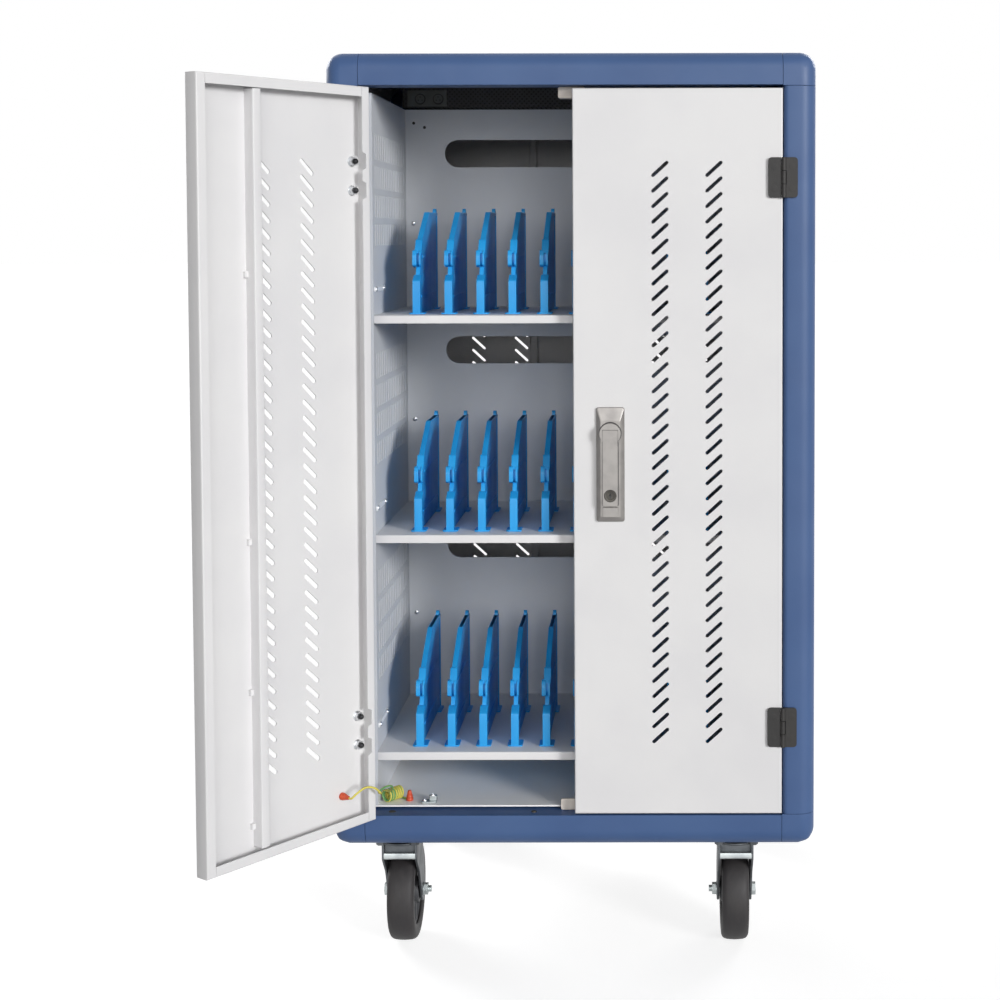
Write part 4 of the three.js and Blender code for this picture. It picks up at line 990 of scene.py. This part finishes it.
def make_hinges():
    for level, z in HINGE_PLACES.items():
        for side, hand in SIDES.items():
            name = f"{level}_{side}_hinge"
            fixed, swung = hinge_leaf(hand, z, True), hinge_leaf(hand, z, False)
            piece(f"{name}_fixed", fixed, HINGE_BLACK, [f"{name}_frame_leaf"], bevel=0.4)
            piece(f"{name}_swung", swung, HINGE_BLACK, [f"{name}_door_leaf"], f"{side}_door", 0.4,
                  DOOR_PLACES[side])


# Swing handle lock
LOCK_X = 47.5
LOCK_Z = 635.0
LOCK_WIDTH = 34.6
LOCK_HEIGHT = 141.0
LOCK_SEAT = FRONT - FIT
LOCK_FACE = FRONT - 7.3
HEAD_Z = 674.0
HEAD_RADIUS = 13.0
HEAD_BACK = LOCK_FACE - FIT
HEAD_FRONT = HEAD_BACK - 8.4
LEVER_HALF = 9.3
LEVER_LOW = 585.5
LEVER_HIGH = 659.4
PIVOT_Z = 668.0
APRON_HIGH = 678.5
TONGUE_HALF = 5.5
CYLINDER_Z = 598.0
CAM_BACK = DOOR_BACK + 3.3

# Strikes: lower edge, front and back
STRIKES = {"upper": (1084.7, -255.0, -239.0), "lower": (197.3, -259.7, -255.3)}
STRIKE_HALF = 16.5
STRIKE_HEIGHT = 14.0


def lock_ring(side, top, low, radius, y):
    """One level of the housing: a round-cornered rectangle drawn in from the sides, top and bottom."""
    half = LOCK_HEIGHT / 2
    ring = lock_bar(LOCK_WIDTH / 2 - side, LOCK_Z - half + low, LOCK_Z + half - top, radius)
    return [(x, y, z) for x, z in ring]


def lock_bar(half, low, high, radius):
    """A round-cornered rectangle on the lock's upright middle line."""
    return round_rectangle(LOCK_X - half, LOCK_X + half, low, high, radius)


def make_lock():
    housing = bmesh.new()
    tapered(housing, [lock_ring(0, 0, 0, 3.0, LOCK_SEAT), lock_ring(0, 0, 0, 3.0, LOCK_SEAT - 2.4),
                      lock_ring(0.6, 0.6, 0.6, 2.8, LOCK_SEAT - 3.2),
                      lock_ring(5.2, 15.5, 6.2, 2.0, LOCK_FACE)])
    prism(housing, "y", lock_bar(LEVER_HALF, 571.4, 583.0, 0.8), LOCK_FACE + 1, LOCK_FACE - 4)
    piece("lock_plate", housing, SATIN_ZINC, ["lock_housing"], "right_door", bevel=0.5, sharp=18)

    # A dark plate just behind the lever and round the head, showing as a thin dark line round them. This is a
    # painted shadow in the gap.
    gap_shade = prism(bmesh.new(), "y", lock_bar(10.1, 584.6, 664, 1.2), LOCK_FACE - 0.25, LOCK_FACE + 1)
    drum(gap_shade, "y", LOCK_X, HEAD_Z, HEAD_RADIUS + 0.9, LOCK_FACE + 1, LOCK_FACE - 0.25, 40, 0.1)
    piece("lock_gap_shade", gap_shade, PAINTED_SHADE_STEEL, (), "right_door")

    gap = LEVER_HALF + FIT
    level = APRON_HIGH + 0.5
    corner = math.degrees(math.acos(gap / HEAD_RADIUS))
    horseshoe = (arc(LOCK_X, HEAD_Z, HEAD_RADIUS, -corner, 180 + corner, 36)
                 + [(LOCK_X - gap, level), (LOCK_X + gap, level)])
    spindle = prism(bmesh.new(), "y", horseshoe, HEAD_FRONT, HEAD_BACK)
    drum(spindle, "y", LOCK_X, HEAD_Z, HEAD_RADIUS - 0.2, HEAD_BACK - 0.3, HEAD_BACK, 40, 0.1)
    drum(spindle, "y", LOCK_X, HEAD_Z, 6, HEAD_BACK - 0.05, CAM_BACK, 24)
    cam = round_rectangle(LOCK_X - 42, LOCK_X + 8, HEAD_Z - 8, HEAD_Z + 8, 6)
    prism(spindle, "y", cam, DOOR_BACK + FIT, CAM_BACK)
    piece("lock_head", spindle, SATIN_ZINC, ["lock_spindle"], "lock_spindle", bevel=0.5)

    front = HEAD_FRONT
    bore = arc(LOCK_X, CYLINDER_Z, 7.7, 0, 360 - 360 / 28, 27)
    outline = lock_bar(LEVER_HALF, LEVER_LOW, LEVER_HIGH, 1.6)
    plate = pierced_sheet("y", outline, [bore], front + 0.6, HEAD_BACK)
    prism(plate, "y", lock_bar(LEVER_HALF, LEVER_HIGH - 2, APRON_HIGH, 1.2), front, front + 1.2)
    tongue = [LOCK_X - TONGUE_HALF, LOCK_X + TONGUE_HALF]
    block(plate, *tongue, front + 1, HEAD_BACK - 1, LEVER_HIGH - 1, PIVOT_Z)
    drum(plate, "x", (front + HEAD_BACK) / 2, PIVOT_Z, 3.6, *tongue, 28, 0.3)
    piece("lock_handle", plate, SATIN_ZINC, ["lock_lever"], "lock_lever", bevel=0.35)

    depth = HEAD_BACK - 0.4 - front
    barrel = [(0, 1.2), (4.4, 1.2), (4.6, 0.1), (5.4, -0.4), (7.0, -0.4), (7.4, 0), (7.4, depth), (0, depth)]
    cylinder = lathe(bmesh.new(), "y", LOCK_X, CYLINDER_Z, barrel, 32, front)
    piece("key_barrel", cylinder, KEY_STEEL_AND_HOLE_SHADE, ["key_cylinder"], "key_cylinder")
    # The keyway is a thin black plate with a round end, set on the cylinder's face. Its black is painted
    # shade for the slot.
    keyway = block(bmesh.new(), LOCK_X - 0.7, LOCK_X + 0.7, front + 0.9, front + 1.5,
                   CYLINDER_Z - 3.4, CYLINDER_Z + 3.4)
    drum(keyway, "y", LOCK_X, CYLINDER_Z, 1.5, front + 1.5, front + 0.85, 16, 0.1)
    piece("key_slot_shade", keyway, BLACK_HOUSING_AND_HOLE_SHADE, (), "key_cylinder", bevel=0.1)


def make_strikes():
    for level, (low, start, end) in STRIKES.items():
        outline = round_rectangle(-STRIKE_HALF, STRIKE_HALF, low, low + STRIKE_HEIGHT, 2.4)
        keeper = prism(bmesh.new(), "y", outline, start, end)
        piece(f"{level}_keeper", keeper, CREAM, [f"{level}_strike"], bevel=0.8)


make_doors()
make_hinges()
make_lock()
make_strikes()


# Castors: plate with raceway, pressed fork with its axle bolt, solid-tyred wheel
CASTOR_CENTRE = -10.0
KINGPIN_X = 214.0
KINGPIN_Y = 208.0
TRAIL = 38.0
AXLE_Z = 63.5
TYRE_RADIUS = 63.5
PLATE_TOP = 156.7
PLATE_LOW = 152.7
RACE_LOW = 146.7
CROWN_TOP = 146.4
CROWN_LOW = 142.4
LEG_IN = 19.5
LEG_OUT = 22.5
LIP_LOW = 122.4
HUB_RIBS = 8
PLATE_BOLTS = [(x, y) for x in (-21, 21) for y in (-34, 34)]


def castor_plate():
    """Top plate with its raceway, kingpin and four bolts. Castors are built about the kingpin's axis."""
    shape = prism(bmesh.new(), "z", round_rectangle(-30, 30, -43, 43, 5), PLATE_LOW, PLATE_TOP)
    deep = PLATE_LOW - RACE_LOW
    raceway = [(0, 0), (24, 0), (27, 1.5), (27, deep - 1.5), (25, deep), (0, deep)]
    lathe(shape, "z", 0, 0, raceway, 40, PLATE_LOW, -1)
    drum(shape, "z", 0, 0, 6, RACE_LOW, CROWN_LOW - 1)
    lathe(shape, "z", 0, 0, [(0, 0.3), (8, 0.3), (9, 1.3), (8, 2.8), (5, 3.2), (0, 3.3)], 24, CROWN_LOW, -1)
    for x, y in PLATE_BOLTS:
        hexagon(shape, "z", x, y, 6.5, PLATE_LOW - 5, PLATE_LOW)
        drum(shape, "z", x, y, 8, PLATE_LOW - 1.2, PLATE_LOW, 24, 0.2)
    return shape


def castor_fork():
    """Crown, front web and legs."""
    crown = [(6.4, CROWN_LOW), (27, CROWN_LOW), (29, CROWN_LOW + 1.2), (29, CROWN_TOP - 0.8),
             (27.5, CROWN_TOP), (6.4, CROWN_TOP), (6.4, CROWN_LOW)]
    shape = lathe(bmesh.new(), "z", 0, 0, crown, 40)
    block(shape, -LEG_IN, LEG_IN, -17, 24, CROWN_LOW, CROWN_TOP)
    block(shape, -LEG_IN, LEG_IN, -16, -13, LIP_LOW + 3, CROWN_LOW + 1)
    leg = ([(-21, CROWN_TOP - 1), (-21.8, LIP_LOW + 0.5), (4, 98)] + arc(TRAIL, AXLE_Z, 14.5, 190, 350, 12)
           + [(TRAIL + 13, AXLE_Z + 30), (30, CROWN_TOP - 12), (26, CROWN_TOP - 1)])
    for hand in SIDES.values():
        prism(shape, "x", rounded(leg, 3), *span(hand, LEG_IN, LEG_OUT))
    return shape


def lip_and_bolt(hand):
    """The fork's bright rolled lip and its axle bolt, with the head outside and the nut on the inner side."""
    shape = bmesh.new()
    lip = rounded([(-20.4, 0.6), (-21.9, 2.4), (-21.4, 8.6), (-19.4, 9.6), (-13, 9.6), (-13, 0.6)], 1)
    middle = Vector((-16, 4.8))
    taper = [(LEG_OUT - 0.3, 0.55), (LEG_OUT - 0.9, 0.75), (LEG_OUT - 2.6, 1.0)]
    rings = []
    for x, share in [(-x, share) for x, share in taper] + taper[::-1]:
        points = [middle.lerp(Vector(point), share) for point in lip]
        rings.append([(x, y, LIP_LOW + z) for y, z in points])
    tapered(shape, rings)
    axle = (shape, "x", TRAIL, AXLE_Z)
    drum(*axle, 5, -LEG_OUT - 0.5, LEG_OUT + 0.5, 24)
    hexagon(*axle, 8.4, hand * LEG_OUT, hand * (LEG_OUT + 5.6))
    drum(*axle, 8.2, -hand * LEG_OUT, -hand * (LEG_OUT + 0.9), 28, 0.2)
    hexagon(*axle, 7.8, -hand * (LEG_OUT + 0.8), -hand * (LEG_OUT + 6))
    for turn in range(4):
        start = LEG_OUT + 5.8 + turn * 1.1
        drum(*axle, 4.2, -hand * start, -hand * (start + 1.2), 20, 0.35)
    return shape


def tyre():
    """Tread with a slight crown and well rounded shoulders."""
    r = TYRE_RADIUS
    half = [(44, -15), (46, -16.5), (r - 8.6, -17.4), (r - 6, -17.1), (r - 3.6, -15.9), (r - 1.7, -13.6),
            (r - 0.7, -10.2), (r - 0.2, -5), (r, 0)]
    profile = half + [(radius, -along) for radius, along in half[-2::-1]] + [half[0]]
    return lathe(bmesh.new(), "x", TRAIL, AXLE_Z, profile, 72)


def wheel_centre():
    """The hub: a dished disc with ribs and bearing caps."""
    half = [(5.4, -18.4), (9, -18.4), (11, -18), (15.4, -17.5), (16, -17), (17, -9), (41, -8), (43.2, -12),
            (45, -13.5)]
    profile = half + [(radius, -along) for radius, along in half[::-1]] + [half[0]]
    shape = lathe(bmesh.new(), "x", TRAIL, AXLE_Z, profile, 48)
    for k in range(HUB_RIBS):
        place = Matrix.Translation((0, TRAIL, AXLE_Z)) @ Matrix.Rotation(TAU * k / HUB_RIBS, 4, "X")
        rib = block(bmesh.new(), -12.5, 12.5, -1.4, 1.4, 15, 43)
        bmesh.ops.transform(rib, matrix=place, verts=rib.verts)
        join(shape, rib)
    return shape


def make_castors():
    for end, front in ENDS.items():
        for side, hand in SIDES.items():
            corner = f"{end}_{side}"
            node, fork, wheel = f"{corner}_castor", f"{corner}_fork", f"{corner}_wheel"
            place = Matrix.Translation((CASTOR_CENTRE + hand * KINGPIN_X, -front * KINGPIN_Y, 0))
            # Plates and forks take the darker zinc, which is painted shade. The lip and bolt keep the plain
            # zinc.
            piece(f"{corner}_top_plate", castor_plate(), SHADED_ZINC, [f"{node}_plate"], bevel=0.4,
                  place=place)
            piece(fork, castor_fork(), SHADED_ZINC, [f"{node}_fork"], fork, 0.5, place)
            piece(f"{fork}_lip_and_bolt", lip_and_bolt(hand), ZINC_PLATE, (), fork, 0.4, place)
            piece(f"{corner}_tyre", tyre(), TYRE, [f"{node}_wheel"], wheel, place=place, sharp=50)
            piece(f"{corner}_hub", wheel_centre(), HUB_GREY, (), wheel, 0.4, place)


# Small fittings: screws, shelf strips, holes and the floor clip
SCREW_X = 235.5
SCREW_RISE = 116.0
STRIP_RISE = 32.0
STRIP_FACE = WALL - 1.6
STRIP_FRONT = -248.0
STRIP_BACK = -176.0
STRIP_SCREWS = (-241.0, -184.0)
PARTITION_HOLES = ((-234, 1073), (-219, 1067), (234, 1073), (219, 1067))
RAIL_TOP = BOTTOM + PROFILE


def pan_screw(shape, axis, a, b, seat, way, radius=3.2):
    """A low domed screw head with a cross recess, seated on a face and standing out along way."""
    profile = [(0, -0.3), (radius, -0.3), (radius, 0.5), (radius * 0.85, 1.3), (radius * 0.45, 1.8),
               (0.9, 1.9), (0.7, 1.2), (0, 1.2)]
    lathe(shape, axis, a, b, profile, 20, seat, way)


def make_fittings():
    def fitting(name, shape, finish, bevel=0.0):
        piece(name, shape, finish, bevel=bevel)

    screws, strips, strip_screws, holes, rail_screw, clip, clip_screws = (bmesh.new() for k in range(7))
    for top in SHELF_TOPS.values():
        for hand in SIDES.values():
            pan_screw(screws, "y", hand * SCREW_X, top + SCREW_RISE, PARTITION, -1)
            z = top + STRIP_RISE
            strip = round_rectangle(STRIP_FRONT, STRIP_BACK, z - 3, z + 3, 1.5)
            prism(strips, "x", strip, hand * WALL, hand * STRIP_FACE)
            for y in STRIP_SCREWS:
                pan_screw(strip_screws, "x", y, z, hand * STRIP_FACE, -hand)
    fitting("partition_screws", screws, BRIGHT_STEEL)
    fitting("shelf_strips", strips, STRIP_WHITE, 0.3)
    fitting("shelf_strip_screws", strip_screws, BRIGHT_STEEL)

    # Holes in the partition and the bottom rail are thin dark discs. Their darkness is painted shade.
    for x, z in PARTITION_HOLES:
        lathe(holes, "y", x, z, [(0, -0.1), (1.2, -0.1), (1.9, -0.4), (2.3, 0.3), (0, 0.3)], 20, PARTITION)
    lathe(holes, "z", -227, -264, [(0, 0.1), (3.4, 0.1), (4.2, 0.4), (4.6, -0.2), (0, -0.2)], 20, RAIL_TOP)
    fitting("hole_shade_discs", holes, KEY_STEEL_AND_HOLE_SHADE)
    pan_screw(rail_screw, "z", -49.9, -266.0, RAIL_TOP, 1, 3.4)
    fitting("rail_screw", rail_screw, KEY_STEEL_AND_HOLE_SHADE)

    prism(clip, "z", round_rectangle(-193, -174, -250, -238, 2), FLOOR, FLOOR + 2.2)
    prism(clip, "z", round_rectangle(-184, -174, -243, -237, 1.5), FLOOR + 2, FLOOR + 8)
    fitting("floor_clip", clip, ZINC_PLATE, bevel=0.4)
    pan_screw(clip_screws, "z", -179, -240, FLOOR + 8, 1, 2.8)
    pan_screw(clip_screws, "z", -189, -244, FLOOR + 2.2, 1, 2.6)
    fitting("floor_clip_screws", clip_screws, BRIGHT_STEEL)


make_castors()
make_fittings()


# Stage: white floor that keeps the cart's shadow, white all round, and soft studio light.
# The floor's reach is in metres.
FLOOR_REACH = 60.0
FLOOR_PAINT = 0.45
FLOOR_GLOW = 0.76
AMBIENT = 0.09

# Lamps: level, degrees to the right of the front, degrees above the floor, degrees across
LAMPS = {"key_lamp": (0.7, 41, 13, 16), "front_lamp": (0.33, 2, 12, 40),
         "rear_left_lamp": (0.62, -136, 22, 24), "rear_right_lamp": (0.38, 152, 22, 24)}


def grey(level):
    return (level, level, level, 1)


def make_floor():
    shape = bmesh.new()
    corners = rectangle(-FLOOR_REACH, FLOOR_REACH, -FLOOR_REACH, FLOOR_REACH)
    shape.faces.new([shape.verts.new((x, y, 0)) for x, y in corners])
    mesh = mesh_of("white_floor", shape)
    floor = add("white_floor", mesh)
    paint = Finish("floor_paint", Base_Color=grey(FLOOR_PAINT), Roughness=0.9, Specular_IOR_Level=0.0,
                   Emission_Strength=1.0)
    paint.vary(Emission_Color=paint.blend(paint.seen(), grey(0), grey(FLOOR_GLOW)))
    mesh.materials.append(paint.holder)


def make_world():
    studio = Finish("white_studio", bpy.data.worlds, "Background", Color=grey(1))
    studio.vary(Strength=AMBIENT + (1 - AMBIENT) * studio.seen())
    bpy.context.scene.world = studio.holder


def make_sun(name, level, azimuth, height, softness):
    """A far soft lamp."""
    data = bpy.data.lights.new(name, "SUN")
    data.energy = level * math.pi
    data.angle = math.radians(softness)
    lamp = add(name, data)
    turn, rise = math.radians(azimuth), math.radians(height)
    towards = Vector((math.sin(turn) * math.cos(rise), -math.cos(turn) * math.cos(rise), math.sin(rise)))
    lamp.rotation_euler = (-towards).to_track_quat("-Z", "Y").to_euler()


make_floor()
make_world()
for lamp, settings in LAMPS.items():
    make_sun(lamp, *settings)
bpy.context.scene.view_settings.view_transform = "Standard"
